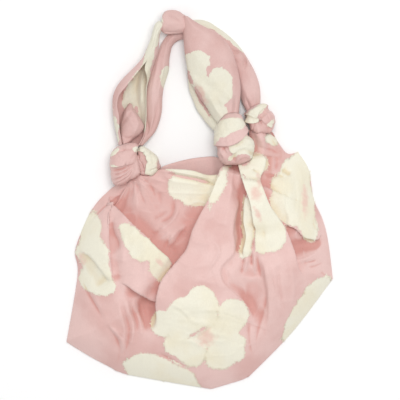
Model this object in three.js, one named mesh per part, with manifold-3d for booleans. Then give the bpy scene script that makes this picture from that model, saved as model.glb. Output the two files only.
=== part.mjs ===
// A knotted cloth hand bag, lying on its back on a flat surface.
// The pouch is one hollow cloth piece whose mouth is open between the knots. Two folded bands
// of cloth are its handles, and four knots tie them to the pouch's gathered corners.
// X runs to the right, Y from the pouch's bottom to the handles and Z up, in millimetres.
import * as THREE from "three";
import { mergeVertices } from "three/addons/utils/BufferGeometryUtils.js";
import Module from "manifold-3d";

const wasm = await Module();
wasm.setup();

// Driving dimensions
const CLOTH = 2.4; // thickness of the cloth with its small wrinkles
const GAP = 0.45; // how far a cut keeps the cloth off the knot that holds it
const EDGE_HEIGHT = 3; // the folded edge of the pouch, above the surface
const EDGE_TURN = 3; // how far that edge rounds in under the pouch
const PUFF = 50; // height of the pouch's front away from its edges
const EDGE_REACH = 34; // distance over which the front rises to that height
const NECK_HEIGHT = 20; // the gathered cloth where it goes into a knot
const NECK_REACH = 42; // distance over which it spreads out again
const MOUTH_HEIGHT = 38; // the front hem above the surface, at the middle of the mouth
const MOUTH_REACH = { x: -20, y: 40, along: 60, across: 40 }; // the cloth that the hem holds up

// Mesh of the pouch: the mouth runs between two of its columns
const COLUMNS = 42;
const ROWS = 34;
const MOUTH_FROM = 9;
const MOUTH_TO = 20;
const END_CROWDING = 0.45; // how much narrower the cells are towards the sides

// The pouch's outline, each side from its own start to its own end
const LEFT_SIDE = [
  { x: -132, y: 18 },
  { x: -151, y: 0 },
  { x: -165, y: -20 },
  { x: -177, y: -46 },
  { x: -187, y: -78 },
  { x: -183.5, y: -114 },
  { x: -200, y: -213 },
];
const BOTTOM_SIDE = [
  { x: -200, y: -213 },
  { x: -166, y: -234 },
  { x: -130, y: -256 },
  { x: -104, y: -263 },
  { x: -45, y: -272 },
  { x: 15, y: -283 },
  { x: 76, y: -263 },
  { x: 140, y: -196 },
  { x: 199, y: -118 },
];
const RIGHT_SIDE = [
  { x: 145, y: 69 },
  { x: 164, y: 44 },
  { x: 170, y: 2 },
  { x: 184, y: -30 },
  { x: 192, y: -62 },
  { x: 199, y: -118 },
];
const TOP_LEFT = [
  { x: -132, y: 18 },
  { x: -114, y: 28 },
  { x: -96, y: 35 },
  { x: -66, y: 44 },
];
const FRONT_HEM = [
  { x: -66, y: 44 },
  { x: -42, y: 45 },
  { x: -13, y: 43 },
  { x: 8, y: 37 },
  { x: 20, y: 37 },
  { x: 30, y: 46 },
  { x: 38, y: 58 },
];
const BACK_HEM = [
  { x: -66, y: 44 },
  { x: -52, y: 52 },
  { x: -24, y: 60 },
  { x: 0, y: 64 },
  { x: 22, y: 65 },
  { x: 38, y: 58 },
];
const TOP_RIGHT = [
  { x: 38, y: 58 },
  { x: 56, y: 66 },
  { x: 72, y: 76 },
  { x: 74, y: 92 },
  { x: 76, y: 106 },
  { x: 104, y: 104 },
  { x: 114, y: 91 },
  { x: 130, y: 71 },
  { x: 145, y: 69 },
];

// Broad rises and hollows of the front: half sizes along and across, turned from X
const SWELLS = [
  { name: "belly", x: 55, y: -150, along: 95, across: 80, turn: 0, lift: 12 },
  { name: "left panel", x: -135, y: -135, along: 45, across: 75, turn: 10, lift: 5 },
  { name: "centre hollow", x: -40, y: -12, along: 48, across: 46, turn: 0, lift: -11 },
  { name: "right drape", x: 140, y: 10, along: 26, across: 48, turn: 0, lift: 9 },
  { name: "right hollow", x: 160, y: -70, along: 30, across: 13, turn: 5, lift: -12 },
  { name: "lower hollow", x: -85, y: -168, along: 22, across: 20, turn: -30, lift: -9 },
  { name: "pleat", x: 96, y: 12, along: 20, across: 62, turn: 20, lift: 8 },
];

// Folds: the cloth on the left of each path, seen along it, stands over the cloth on its right
const FOLDS = [
  {
    name: "left flap",
    path: [[-44, -86], [-73, -58], [-100, -35], [-124, -11], [-140, 2]],
    width: 20,
    rise: 20,
    spread: 60,
    groove: 4,
  },
  {
    name: "right flap",
    path: [
      [30, 48], [22, 22], [9, -2], [-5, -25], [-15, -50], [-19, -72],
      [-38, -92], [-61, -127], [-66, -150], [-70, -176], [-78, -200],
    ],
    width: 20,
    rise: 20,
    spread: 70,
    groove: 5,
  },
  {
    name: "left flap hem",
    path: [[-62, -160], [-84, -147], [-104, -136], [-126, -126]],
    width: 14,
    rise: 8,
    spread: 35,
    groove: 4,
  },
  {
    name: "pleat edge",
    path: [[146, -92], [138, -68], [128, -44], [118, -30], [105, -2], [94, 26]],
    width: 14,
    rise: 10,
    spread: 30,
    groove: 5,
  },
  {
    name: "drape edge",
    path: [[180, -58], [155, -58], [142, -42], [128, -40]],
    width: 14,
    rise: 10,
    spread: 34,
    groove: 4,
  },
  {
    name: "side crease",
    path: [[-134, -124], [-138, -60], [-135, 0]],
    width: 14,
    rise: 6,
    spread: 22,
    groove: 3,
  },
  {
    name: "slack crease",
    path: [[70, -146], [33, -124], [33, -99], [50, -82], [55, -58], [50, -18], [62, 8]],
    width: 14,
    rise: 6,
    spread: 26,
    groove: 4,
  },
];

// Handles: the middle line, the height of the lowest point, the width, the loft of the
// folded band and the turn of its open side, which faces the surface at 0 degrees
const FRONT_HANDLE = [
  { x: -104, y: 66, base: 14, width: 30, loft: 11, turn: 180 },
  { x: -105, y: 88, base: 8, width: 38, loft: 13, turn: 180 },
  { x: -106, y: 112, base: 4, width: 44, loft: 15, turn: 178 },
  { x: -107, y: 136, base: 3, width: 50, loft: 16, turn: 172 },
  { x: -104, y: 160, base: 4, width: 48, loft: 16, turn: 160 },
  { x: -94, y: 182, base: 8, width: 40, loft: 14, turn: 130 },
  { x: -82, y: 204, base: 13, width: 27, loft: 12, turn: 70 },
  { x: -74, y: 226, base: 14, width: 21, loft: 11, turn: 20 },
  { x: -66, y: 244, base: 14, width: 20, loft: 11, turn: 0 },
  { x: -53, y: 256, base: 14, width: 26, loft: 11, turn: 0 },
  { x: -39, y: 265, base: 14, width: 34, loft: 11, turn: 0 },
  { x: -22, y: 260, base: 14, width: 38, loft: 12, turn: 0 },
  { x: -3, y: 246, base: 13, width: 52, loft: 13, turn: 2 },
  { x: 10, y: 225, base: 12, width: 68, loft: 15, turn: 5 },
  { x: 16, y: 202, base: 10, width: 77, loft: 17, turn: 8 },
  { x: 19, y: 178, base: 9, width: 78, loft: 18, turn: 9 },
  { x: 22, y: 154, base: 9, width: 73, loft: 17, turn: 8 },
  { x: 29, y: 132, base: 12, width: 60, loft: 15, turn: 4 },
  { x: 38, y: 110, base: 18, width: 44, loft: 12, turn: 0 },
];
const BACK_HANDLE = [
  { x: -88, y: 66, base: 8, width: 18, loft: 8, turn: 0 },
  { x: -87, y: 88, base: 3, width: 19, loft: 9, turn: 0 },
  { x: -78, y: 108, base: 0, width: 28, loft: 10, turn: 0 },
  { x: -73, y: 132, base: 0, width: 32, loft: 10, turn: 0 },
  { x: -70, y: 156, base: 0, width: 32, loft: 9, turn: 0 },
  { x: -64, y: 180, base: 0, width: 30, loft: 8, turn: 0 },
  { x: -60, y: 204, base: 0, width: 28, loft: 8, turn: 0 },
  { x: -55, y: 228, base: 0, width: 24, loft: 8, turn: 0 },
  { x: -36, y: 245, base: 0, width: 24, loft: 8, turn: 0 },
  { x: -8, y: 252, base: 0, width: 28, loft: 8, turn: 0 },
  { x: 17, y: 248, base: 0, width: 30, loft: 8, turn: 0 },
  { x: 39, y: 235, base: 0, width: 32, loft: 9, turn: 0 },
  { x: 56, y: 213, base: 0, width: 34, loft: 10, turn: 0 },
  { x: 67, y: 188, base: 0, width: 34, loft: 10, turn: 0 },
  { x: 75, y: 162, base: 1, width: 30, loft: 10, turn: 0 },
  { x: 85, y: 136, base: 4, width: 24, loft: 9, turn: 0 },
];
const HANDLE_STEPS = 42;
const HANDLE_ACROSS = 10;
const HANDLE_WRAP = THREE.MathUtils.degToRad(104); // how far each edge curls round from the crown
const PLEAT_DEPTH = 0.07; // soft pleats along the band, as a share of its loft
const PLEAT_RATE = 6; // how often they repeat round the band
const PLEAT_DRIFT = 9; // how far they shift along it, in radians
const AHEAD = 0.01; // share of a handle's length over which its direction is taken

// Knots: centre, half sizes, and the grooves between the cloth's wraps. A groove lies in a
// plane, given by the direction that it faces and its distance from the knot's centre.
const KNOTS = {
  knot_left_back: {
    x: -78, y: 57, z: 19, rx: 18.5, ry: 20, rz: 18.5, around: 20, down: 12,
    grooves: [
      { azimuth: 70, tilt: 20, offset: 3, width: 4, depth: 0.16 },
      { azimuth: 115, tilt: -25, offset: -9, width: 4, depth: 0.14 },
    ],
  },
  knot_left_front: {
    x: -112, y: 51, z: 25, rx: 24.5, ry: 33, rz: 23, around: 24, down: 16,
    grooves: [
      { azimuth: 60, tilt: 10, offset: 8, width: 5, depth: 0.16 },
      { azimuth: 100, tilt: -20, offset: -10, width: 5, depth: 0.16 },
      { azimuth: 20, tilt: 35, offset: -12, width: 4, depth: 0.1 },
    ],
  },
  knot_right_back: {
    x: 88.5, y: 123, z: 22, rx: 24, ry: 21, rz: 21, around: 22, down: 14,
    grooves: [
      { azimuth: 25, tilt: 10, offset: -4, width: 4.5, depth: 0.18 },
      { azimuth: 110, tilt: 25, offset: -10, width: 4, depth: 0.12 },
    ],
  },
  knot_right_front: {
    x: 51, y: 92, z: 36, rx: 31, ry: 40, rz: 28, around: 28, down: 18,
    grooves: [
      { azimuth: 75, tilt: 15, offset: 14, width: 6, depth: 0.17 },
      { azimuth: 105, tilt: -10, offset: -8, width: 6, depth: 0.17 },
      { azimuth: 60, tilt: 30, offset: -26, width: 5, depth: 0.13 },
    ],
  },
};

const mix = THREE.MathUtils.lerp;
const degrees = THREE.MathUtils.degToRad;
const smooth = (value, from, to) => THREE.MathUtils.smoothstep(value, from, to);

// A smooth curve through the rows of a side, by its length from 0 to 1
function side(rows) {
  const curve = new THREE.SplineCurve(rows.map((row) => new THREE.Vector2(row.x, row.y)));
  return (share) => curve.getPointAt(share);
}
const leftSide = side(LEFT_SIDE);
const bottomSide = side(BOTTOM_SIDE);
const rightSide = side(RIGHT_SIDE);
const topLeft = side(TOP_LEFT);
const frontHem = side(FRONT_HEM);
const backHem = side(BACK_HEM);
const topRight = side(TOP_RIGHT);

// The top edge of the front, whose corners of the mouth fall on whole columns
function topSide(share) {
  const column = share * COLUMNS;
  if (column <= MOUTH_FROM) return topLeft(column / MOUTH_FROM);
  if (column < MOUTH_TO) return frontHem((column - MOUTH_FROM) / (MOUTH_TO - MOUTH_FROM));
  return topRight((column - MOUTH_TO) / (COLUMNS - MOUTH_TO));
}

// A point of the pouch's plan, blended from its four sides
function planPoint(across, down) {
  const a = topSide(across);
  const b = bottomSide(across);
  const c = leftSide(down);
  const d = rightSide(down);
  const corner = (key) =>
    (1 - across) * (1 - down) * LEFT_SIDE[0][key] +
    across * (1 - down) * RIGHT_SIDE[0][key] +
    (1 - across) * down * BOTTOM_SIDE[0][key] +
    across * down * RIGHT_SIDE[RIGHT_SIDE.length - 1][key];
  const blend = (key) =>
    mix(a[key], b[key], down) + mix(c[key], d[key], across) - corner(key);
  return new THREE.Vector2(blend("x"), blend("y"));
}

// Straight pieces of an outline, for measuring how far a point is from it
function pieces(curves, count) {
  const list = [];
  for (const curve of curves)
    for (let i = 0; i < count; i++) list.push([curve(i / count), curve((i + 1) / count)]);
  return list;
}
const PIECES_PER_SIDE = 40;
const OUTER_PIECES = pieces([leftSide, bottomSide, rightSide], PIECES_PER_SIDE);
const NECK_PIECES = pieces([topLeft, topRight], PIECES_PER_SIDE / 2);

// Distance to a set of straight pieces, the side it is on and how far along them it is
function nearest(list, x, y) {
  let best = { distance: Infinity, side: 1, share: 0 };
  list.forEach(([from, to], i) => {
    const dx = to.x - from.x;
    const dy = to.y - from.y;
    const run = ((x - from.x) * dx + (y - from.y) * dy) / (dx * dx + dy * dy);
    const t = THREE.MathUtils.clamp(run, 0, 1);
    const distance = Math.hypot(x - from.x - t * dx, y - from.y - t * dy);
    if (distance < best.distance)
      best = {
        distance,
        side: dx * (y - from.y) - dy * (x - from.x) >= 0 ? 1 : -1,
        share: (i + t) / list.length,
      };
  });
  return best;
}

const FOLD_FADE = 0.15; // share of a fold's length over which each end fades
const FOLD_PIECES = FOLDS.map(({ path }) => {
  const points = path.map(([x, y]) => new THREE.Vector2(x, y));
  return points.slice(1).map((point, i) => [points[i], point]);
});

// Height that one fold adds: a step up to its left, which dies away over its spread, with a
// groove at its foot. It fades in and out at its two ends.
function foldHeight(fold, list, x, y) {
  const { distance, side, share } = nearest(list, x, y);
  const s = distance * side;
  const fade = smooth(share, 0, FOLD_FADE) * smooth(1 - share, 0, FOLD_FADE);
  const step = smooth(s, -fold.width / 2, fold.width / 2) * Math.exp(-Math.max(s, 0) / fold.spread);
  const groove = Math.exp(-(((s + fold.width) / fold.width) ** 2));
  return fade * (fold.rise * step - fold.groove * groove);
}

function swellHeight(swell, x, y) {
  const turn = degrees(swell.turn);
  const dx = x - swell.x;
  const dy = y - swell.y;
  const along = (dx * Math.cos(turn) + dy * Math.sin(turn)) / swell.along;
  const across = (dy * Math.cos(turn) - dx * Math.sin(turn)) / swell.across;
  return swell.lift * Math.exp(-along * along - across * across);
}

// Height of the pouch's front over the surface
function frontHeight(x, y) {
  const edge = nearest(OUTER_PIECES, x, y).distance;
  const neck = nearest(NECK_PIECES, x, y).distance;
  const spread = 1 - Math.exp(-neck / NECK_REACH);
  const hem = Math.exp(
    -(((x - MOUTH_REACH.x) / MOUTH_REACH.along) ** 2) -
      ((y - MOUTH_REACH.y) / MOUTH_REACH.across) ** 2,
  );
  let height = mix(NECK_HEIGHT, PUFF, spread);
  height = mix(height, MOUTH_HEIGHT, hem);
  for (const swell of SWELLS) height += swellHeight(swell, x, y);
  FOLDS.forEach((fold, i) => {
    height += foldHeight(fold, FOLD_PIECES[i], x, y);
  });
  return EDGE_HEIGHT + (height - EDGE_HEIGHT) * (1 - Math.exp(-edge / EDGE_REACH));
}

// A triangle mesh that is put together from quads, strips and flat faces
class Surface {
  constructor() {
    this.positions = [];
    this.faces = [];
  }
  point(p) {
    this.positions.push(p.x, p.y, p.z);
    return this.positions.length / 3 - 1;
  }
  // Splits a four-sided face along its shorter diagonal
  quad(a, b, c, d) {
    const at = (i) => new THREE.Vector3().fromArray(this.positions, 3 * i);
    if (at(a).distanceTo(at(c)) < at(b).distanceTo(at(d))) this.faces.push(a, b, c, a, c, d);
    else this.faces.push(a, b, d, b, c, d);
  }
  // Joins two rows of points, the second on the right of the first, seen from outside
  strip(first, second) {
    for (let i = 1; i < first.length; i++)
      this.quad(first[i - 1], second[i - 1], second[i], first[i]);
  }
  solid() {
    const geometry = new THREE.BufferGeometry();
    geometry.setAttribute("position", new THREE.Float32BufferAttribute(this.positions, 3));
    geometry.setIndex(this.faces);
    return solidOf(geometry);
  }
}

function solidOf(geometry) {
  for (const name of Object.keys(geometry.attributes))
    if (name !== "position") geometry.deleteAttribute(name);
  const merged = mergeVertices(geometry, 1e-4);
  const solid = new wasm.Manifold(
    new wasm.Mesh({
      numProp: 3,
      vertProperties: new Float32Array(merged.attributes.position.array),
      triVerts: new Uint32Array(merged.index.array),
    }),
  );
  return solid;
}

// The largest body of a solid: a cut can leave crumbs behind
function largest(solid) {
  return solid.decompose().sort((a, b) => b.volume() - a.volume())[0];
}

function geometryOf(solid) {
  const mesh = solid.getMesh();
  const geometry = new THREE.BufferGeometry();
  geometry.setAttribute("position", new THREE.Float32BufferAttribute(mesh.vertProperties, 3));
  geometry.setIndex(new THREE.BufferAttribute(mesh.triVerts, 1));
  geometry.computeVertexNormals();
  return geometry;
}

// Cells are narrower towards both ends of a row of them
function crowded(share) {
  return share - (END_CROWDING * Math.sin(2 * Math.PI * share)) / (2 * Math.PI);
}

// The pouch: an outer and an inner front, a flat back of two faces, and walls between them
function pouch() {
  const outer = [];
  for (let row = 0; row <= ROWS; row++) {
    const line = [];
    for (let column = 0; column <= COLUMNS; column++) {
      const p = planPoint(column / COLUMNS, crowded(row / ROWS));
      line.push(new THREE.Vector3(p.x, p.y, frontHeight(p.x, p.y)));
    }
    outer.push(line);
  }
  const normalAt = (row, column) => {
    const up = outer[Math.max(row - 1, 0)][column];
    const down = outer[Math.min(row + 1, ROWS)][column];
    const left = outer[row][Math.max(column - 1, 0)];
    const right = outer[row][Math.min(column + 1, COLUMNS)];
    return right.clone().sub(left).cross(up.clone().sub(down)).normalize();
  };

  // The rim runs from one corner of the mouth round the pouch to the other
  const rim = [];
  for (let column = MOUTH_FROM; column > 0; column--) rim.push([0, column]);
  for (let row = 0; row < ROWS; row++) rim.push([row, 0]);
  for (let column = 0; column < COLUMNS; column++) rim.push([ROWS, column]);
  for (let row = ROWS; row > 0; row--) rim.push([row, COLUMNS]);
  for (let column = COLUMNS; column >= MOUTH_TO; column--) rim.push([0, column]);
  const mouth = [];
  for (let column = MOUTH_TO - 1; column > MOUTH_FROM; column--) mouth.push(column);

  // Each point of the back lies in from the rim, towards the middle of the pouch
  const inward = rim.map(([row, column], i) => {
    const [beforeRow, beforeColumn] = rim[Math.max(i - 1, 0)];
    const [afterRow, afterColumn] = rim[Math.min(i + 1, rim.length - 1)];
    const along = outer[afterRow][afterColumn].clone().sub(outer[beforeRow][beforeColumn]);
    return new THREE.Vector3(-along.y, along.x, 0).normalize();
  });
  const backPoint = (inset, z) => (i) => {
    const [row, column] = rim[i];
    return outer[row][column].clone().addScaledVector(inward[i], inset).setZ(z);
  };
  const hemPoint = (z) => (column) => {
    const p = backHem((column - MOUTH_FROM) / (MOUTH_TO - MOUTH_FROM));
    return new THREE.Vector3(p.x, p.y, z);
  };

  const s = new Surface();
  const front = outer.map((line) => line.map((p) => s.point(p)));
  const inner = outer.map((line, row) =>
    line.map((p, column) => {
      const onRim = row === ROWS || column === 0 || column === COLUMNS;
      const closedTop = row === 0 && (column <= MOUTH_FROM || column >= MOUTH_TO);
      const q = p.clone().addScaledVector(normalAt(row, column), -CLOTH);
      if (onRim || closedTop) {
        const i = rim.findIndex(([r, c]) => r === row && c === column);
        q.copy(p).addScaledVector(inward[i], CLOTH);
        q.z = onRim ? EDGE_HEIGHT : p.z - CLOTH;
      }
      return s.point(q);
    }),
  );
  for (let row = 0; row < ROWS; row++) {
    s.strip(front[row], front[row + 1]);
    s.strip(inner[row + 1], inner[row]);
  }

  const outerBack = rim.map((_, i) => s.point(backPoint(EDGE_TURN, 0)(i)));
  const innerBack = rim.map((_, i) => s.point(backPoint(CLOTH + EDGE_TURN, CLOTH)(i)));
  const outerRim = rim.map(([row, column]) => front[row][column]);
  const innerRim = rim.map(([row, column]) => inner[row][column]);
  s.strip(outerRim, outerBack);
  s.strip(innerBack, innerRim);

  // The mouth: the front hem, the back hem and the two ends between them
  const outerHem = mouth.map((column) => s.point(hemPoint(0)(column)));
  const innerHem = mouth.map((column) => s.point(hemPoint(CLOTH)(column)));
  const end = rim.length - 1;
  const hemColumns = [MOUTH_TO, ...mouth, MOUTH_FROM];
  s.strip(
    hemColumns.map((column) => front[0][column]),
    hemColumns.map((column) => inner[0][column]),
  );
  s.strip(
    [innerBack[end], ...innerHem, innerBack[0]],
    [outerBack[end], ...outerHem, outerBack[0]],
  );
  s.quad(outerBack[0], outerRim[0], innerRim[0], innerBack[0]);
  s.quad(outerRim[end], outerBack[end], innerBack[end], innerRim[end]);

  // The two faces of the back, each flat
  const flat = (ring, faceUp) => {
    const at = (i) => new THREE.Vector2(s.positions[3 * i], s.positions[3 * i + 1]);
    for (const [a, b, c] of THREE.ShapeUtils.triangulateShape(ring.map(at), [])) {
      const area = at(ring[b]).sub(at(ring[a])).cross(at(ring[c]).sub(at(ring[a])));
      const keep = area > 0 === faceUp;
      s.faces.push(ring[a], ring[keep ? b : c], ring[keep ? c : b]);
    }
  };
  flat([...outerBack, ...outerHem], false);
  flat([...innerBack, ...innerHem], true);
  return s.solid();
}

// A value of a table's column, smooth between its rows
function along(rows, key, share) {
  const place = share * (rows.length - 1);
  const i = Math.min(Math.floor(place), rows.length - 2);
  const at = (n) => rows[THREE.MathUtils.clamp(n, 0, rows.length - 1)][key];
  const t = place - i;
  const [a, b, c, d] = [at(i - 1), at(i), at(i + 1), at(i + 2)];
  return (
    b + 0.5 * t * (c - a + t * (2 * a - 5 * b + 4 * c - d + t * (3 * (b - c) + d - a)))
  );
}

// A folded band of cloth that follows a table's rows
function handle(rows) {
  const s = new Surface();
  const rings = [];
  for (let step = 0; step <= HANDLE_STEPS; step++) {
    const share = step / HANDLE_STEPS;
    const value = (key) => along(rows, key, share);
    const before = Math.max(share - AHEAD, 0);
    const after = Math.min(share + AHEAD, 1);
    const forward = new THREE.Vector3(
      along(rows, "x", after) - along(rows, "x", before),
      along(rows, "y", after) - along(rows, "y", before),
      0,
    ).normalize();
    const across = new THREE.Vector3(forward.y, -forward.x, 0);
    const turn = degrees(value("turn"));
    const outside = [];
    const inside = [];
    for (let i = 0; i <= HANDLE_ACROSS; i++) {
      const angle = HANDLE_WRAP * ((2 * i) / HANDLE_ACROSS - 1);
      const pleat = 1 + PLEAT_DEPTH * Math.cos(angle * PLEAT_RATE + share * PLEAT_DRIFT);
      const place = new THREE.Vector2(
        (value("width") / 2) * Math.sin(angle),
        value("loft") * pleat * Math.cos(angle),
      );
      const normal = new THREE.Vector2(
        value("loft") * Math.sin(angle),
        (value("width") / 2) * Math.cos(angle),
      ).normalize();
      outside.push(place);
      inside.push(place.clone().addScaledVector(normal, -CLOTH));
    }
    const ring = [...outside, ...inside.reverse()];
    for (const p of ring) p.rotateAround(new THREE.Vector2(), -turn);
    const base = Math.max(value("base"), 0);
    const lowest = Math.min(...ring.map((p) => p.y));
    rings.push(
      ring.map((p) =>
        s.point({
          x: value("x") + across.x * p.x,
          y: value("y") + across.y * p.x,
          z: base + p.y - lowest,
        }),
      ),
    );
  }
  const loop = (ring) => [...ring, ring[0]];
  for (let step = 0; step < HANDLE_STEPS; step++)
    s.strip(loop(rings[step + 1]), loop(rings[step]));
  const cap = (ring, start) => {
    const count = ring.length;
    for (let i = 1; i < count / 2; i++) {
      const face = [ring[i - 1], ring[i], ring[count - 1 - i], ring[count - i]];
      s.quad(...(start ? face.reverse() : face));
    }
  };
  cap(rings[0], true);
  cap(rings[HANDLE_STEPS], false);
  return s.solid();
}

// A knot, or with grow the space that the cloth around it leaves free
function knot(size, grow = 0) {
  const ball = new THREE.SphereGeometry(1, size.around, size.down);
  const position = ball.attributes.position;
  const p = new THREE.Vector3();
  for (let i = 0; i < position.count; i++) {
    p.fromBufferAttribute(position, i);
    const reach = p.clone().multiply(new THREE.Vector3(size.rx, size.ry, size.rz));
    let scale = 1;
    for (const groove of size.grooves) {
      const facing = new THREE.Vector3().setFromSphericalCoords(
        1,
        degrees(90 - groove.tilt),
        degrees(90 - groove.azimuth),
      );
      const across = facing.z * reach.y + facing.x * reach.x + facing.y * reach.z;
      scale -= groove.depth * Math.exp(-(((across - groove.offset) / groove.width) ** 2));
    }
    reach.multiplyScalar(scale + grow / reach.length());
    const z = Math.max(size.z + reach.z, -grow);
    position.setXYZ(i, size.x + reach.x, size.y + reach.y, z);
  }
  return solidOf(ball);
}

// Builds every piece, each cut back from the knots that hold it
function build() {
  const solids = new Map();
  const names = Object.keys(KNOTS);
  names.forEach((name, i) => {
    let solid = knot(KNOTS[name]);
    for (const later of names.slice(i + 1)) solid = solid.subtract(knot(KNOTS[later], GAP));
    solids.set(name, largest(solid));
  });
  const cut = (solid) => {
    for (const name of names) solid = solid.subtract(knot(KNOTS[name], GAP));
    return largest(solid);
  };
  solids.set("pouch", cut(pouch()));
  solids.set("handle_front", cut(handle(FRONT_HANDLE)));
  solids.set("handle_back", cut(handle(BACK_HANDLE)));
  return solids;
}

const PINK = new THREE.MeshStandardMaterial({ color: 0xdfb4ad, roughness: 0.7, metalness: 0 });
const CREAM = new THREE.MeshStandardMaterial({ color: 0xebe6d3, roughness: 0.7, metalness: 0 });

const bag = new THREE.Group();
for (const [name, solid] of build()) {
  const mesh = new THREE.Mesh(geometryOf(solid), name.startsWith("knot") ? CREAM : PINK);
  mesh.name = name;
  bag.add(mesh);
}

export default bag;
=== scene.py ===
"""A knotted cloth hand bag lying on its back, pink with cream flowers whose edges are frayed.

Lengths in the tables are millimetres, as in the part's source, and MM turns them into metres.
X runs to the right, Y from the pouch's bottom to the handles and Z up. A path is written as the
x,y pairs of its points.
"""
import math

import bpy
import numpy as np
from mathutils.bvhtree import BVHTree
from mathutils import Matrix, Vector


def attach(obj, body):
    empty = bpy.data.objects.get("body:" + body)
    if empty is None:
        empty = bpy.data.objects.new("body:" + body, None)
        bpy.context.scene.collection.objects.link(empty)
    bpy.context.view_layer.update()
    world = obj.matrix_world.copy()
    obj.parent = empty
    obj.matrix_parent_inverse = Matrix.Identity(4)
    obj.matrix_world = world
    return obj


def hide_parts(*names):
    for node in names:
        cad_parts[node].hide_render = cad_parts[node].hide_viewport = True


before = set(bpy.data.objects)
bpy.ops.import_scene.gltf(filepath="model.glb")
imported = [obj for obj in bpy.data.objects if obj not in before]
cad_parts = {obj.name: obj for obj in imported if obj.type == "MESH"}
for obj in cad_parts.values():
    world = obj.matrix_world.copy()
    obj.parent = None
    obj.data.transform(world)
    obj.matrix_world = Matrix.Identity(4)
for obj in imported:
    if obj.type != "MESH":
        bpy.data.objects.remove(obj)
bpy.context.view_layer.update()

MM = 0.001
ROOT = "root"

# The picture is 600 mm wide at the height of the pouch's edges
VIEW_WIDTH = 0.600
CAMERA_HEIGHT = 4.0
EDGE_LEVEL = 0.006
SENSOR = 36.0

# Light from all round, one soft lamp, and a pale floor just under the bag
SKY = (1.0, 0.99, 0.98, 1)
SKY_STRENGTH = 0.66
LAMP_PLACE = (0.3, 0.6, 2.9)
LAMP_SIZE = 1.4
LAMP_POWER = 41.5
FLOOR_COLOUR = (0.96, 0.965, 0.97, 1)
FLOOR_ROUGHNESS = 0.9
FLOOR_HALF = 20000
FLOOR_LEVEL = -0.5

# Colours of the cloth, and how much darker it is between its threads. The deep pink and the deep
# cream are painted shade in the hollows of folds, and the pale pink is both a paler tone of the
# cloth and a painted highlight along ridges
PINK = (0.735, 0.465, 0.43, 1)
PINK_PALE_AND_HIGHLIGHT = (0.825, 0.58, 0.545, 1)
PINK_PAINTED_SHADE = (0.685, 0.355, 0.315, 1)
CREAM = (0.88, 0.855, 0.72, 1)
CREAM_WARM = (0.86, 0.81, 0.64, 1)
CREAM_PAINTED_SHADE = (0.80, 0.70, 0.50, 1)
BLUSH = (0.84, 0.62, 0.53, 1)
THREAD_GAPS = (0.93, 0.92, 0.92)

# Driving sizes of the pouch, the same as the solid's. The mouth is raised round a centre, over
# two half sizes
EDGE_HEIGHT = 3
EDGE_TURN = 3
PUFF = 50
EDGE_REACH = 34
NECK_HEIGHT = 20
NECK_REACH = 42
MOUTH_HEIGHT = 38
MOUTH_REACH = (-20, 40, 60, 40)

# The free edge of the neck: its height, the share of the cloth's height left there, and how far
# in it is rounded
NECK_EDGE = 4
NECK_THIN = 0.35
NECK_ROUND = 14

# Mesh of the pouch: the mouth runs between two of its columns
COLUMNS = 236
ROWS = 190
MOUTH_FROM = 50
MOUTH_TO = 118
END_CROWDING = 0.45
CURVE_POINTS = 400
LINE_SPACING = 6.0
CLOTH = 1.1

# How the rim turns under and the hems turn in: rim inset and share of its height, front hem
# drop and reach back, back hem reach back and lift. Below PATTERN_DROP the inside is plain. The
# back hem is tucked and rises towards its right end, each over a share of its length
RIM_TURN = [(-0.4, 0.7), (0.4, 0.25), (EDGE_TURN, 0.0)]
HEM_TURN = [(1.6, 1.3), (3.6, 0.9), (5.0, -1.5), (6.0, -6.0), (7.0, -14.0), (8.0, -24.0)]
PATTERN_DROP = 4
BACK_HEM_TURN = [(0, 1.5), (1.5, 3), (4, 3.5), (7, 3.2), (12, 3), (20, 2.5), (32, 1), (44, 0)]
BACK_HEM_RISE = 15
BACK_HEM_TUCK = 0.85
RISE_FADE = (0.8, 0.97)
TUCK_FADE = (0.5, 0.7)
BACK_LEVEL = 1.2

# How far cloth keeps from a knot, how faces that still cut one are eased out of it, how far the
# back handle keeps under the front one, and the lowest heights of a sheet and of its inner side
CLEAR = 0.35
EASE_ROUNDS = 12
EASE_STEP = 0.25
EASE_REACH = 3
UNDER_GAP = 0.6
LOWEST = 0.3
LOWEST_INSIDE = 0.2

# Outline of the pouch's plan, one side after the other, and the free edge of its neck
LEFT_SIDE = "-132,18 -151,0 -165,-20 -177,-46 -187,-78 -183.5,-114 -200,-213"
BOTTOM_SIDE = (
    "-200,-213 -166,-234 -133,-251.5 -127,-255.5 -120,-258 -104,-262.5 -45,-273 8,-281.8 17,-283 "
    "25,-281 60,-270.5 70,-266 80,-258 140,-196 199,-118"
)
RIGHT_SIDE = "147,71.5 163,45 170,2 184,-30 192,-62 199,-118"
TOP_LEFT = "-132,18 -114,28 -100,35 -91.5,42 -82,38 -66,44"
FRONT_HEM = "-66,44 -42,45 -13,43 8,37 20,37 30,46 38,58"
BACK_HEM = "-66,44 -52,52 -24,60 0,64 22,65 38,58"
TOP_RIGHT = "38,58 56,66 72,76 74,92 76,106 104,104 114,91 130,70 147,71.5"
FREE_NECK = "104,104 114,91 130,70 147,71.5"

# Broad rises and hollows of the front: centre, half sizes, turn in degrees and lift. They are
# the belly, the left panel, the hollow in the centre, the drape, the hollow at the right, the
# lower hollow, the tongue and its foot, the trough beside the large flower, the gap between
# tongue and drape, the neck, and the cloth under the left knots
SWELLS = [
    (55, -150, 95, 80, 0, 12), (-135, -135, 45, 75, 10, 5), (-40, -12, 48, 46, 0, -11),
    (140, 10, 24, 50, 0, 10), (157, -68, 26, 12, 8, -14), (-85, -168, 22, 20, -30, -10),
    (84, 8, 20, 62, 10, 7), (128, -130, 20, 60, 12, 6), (74, -152, 20, 50, 8, -16),
    (101, 18, 7, 20, 0, -4), (90, 96, 13, 20, 10, 17), (-97, 27, 24, 13, 30, 9),
]

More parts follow.
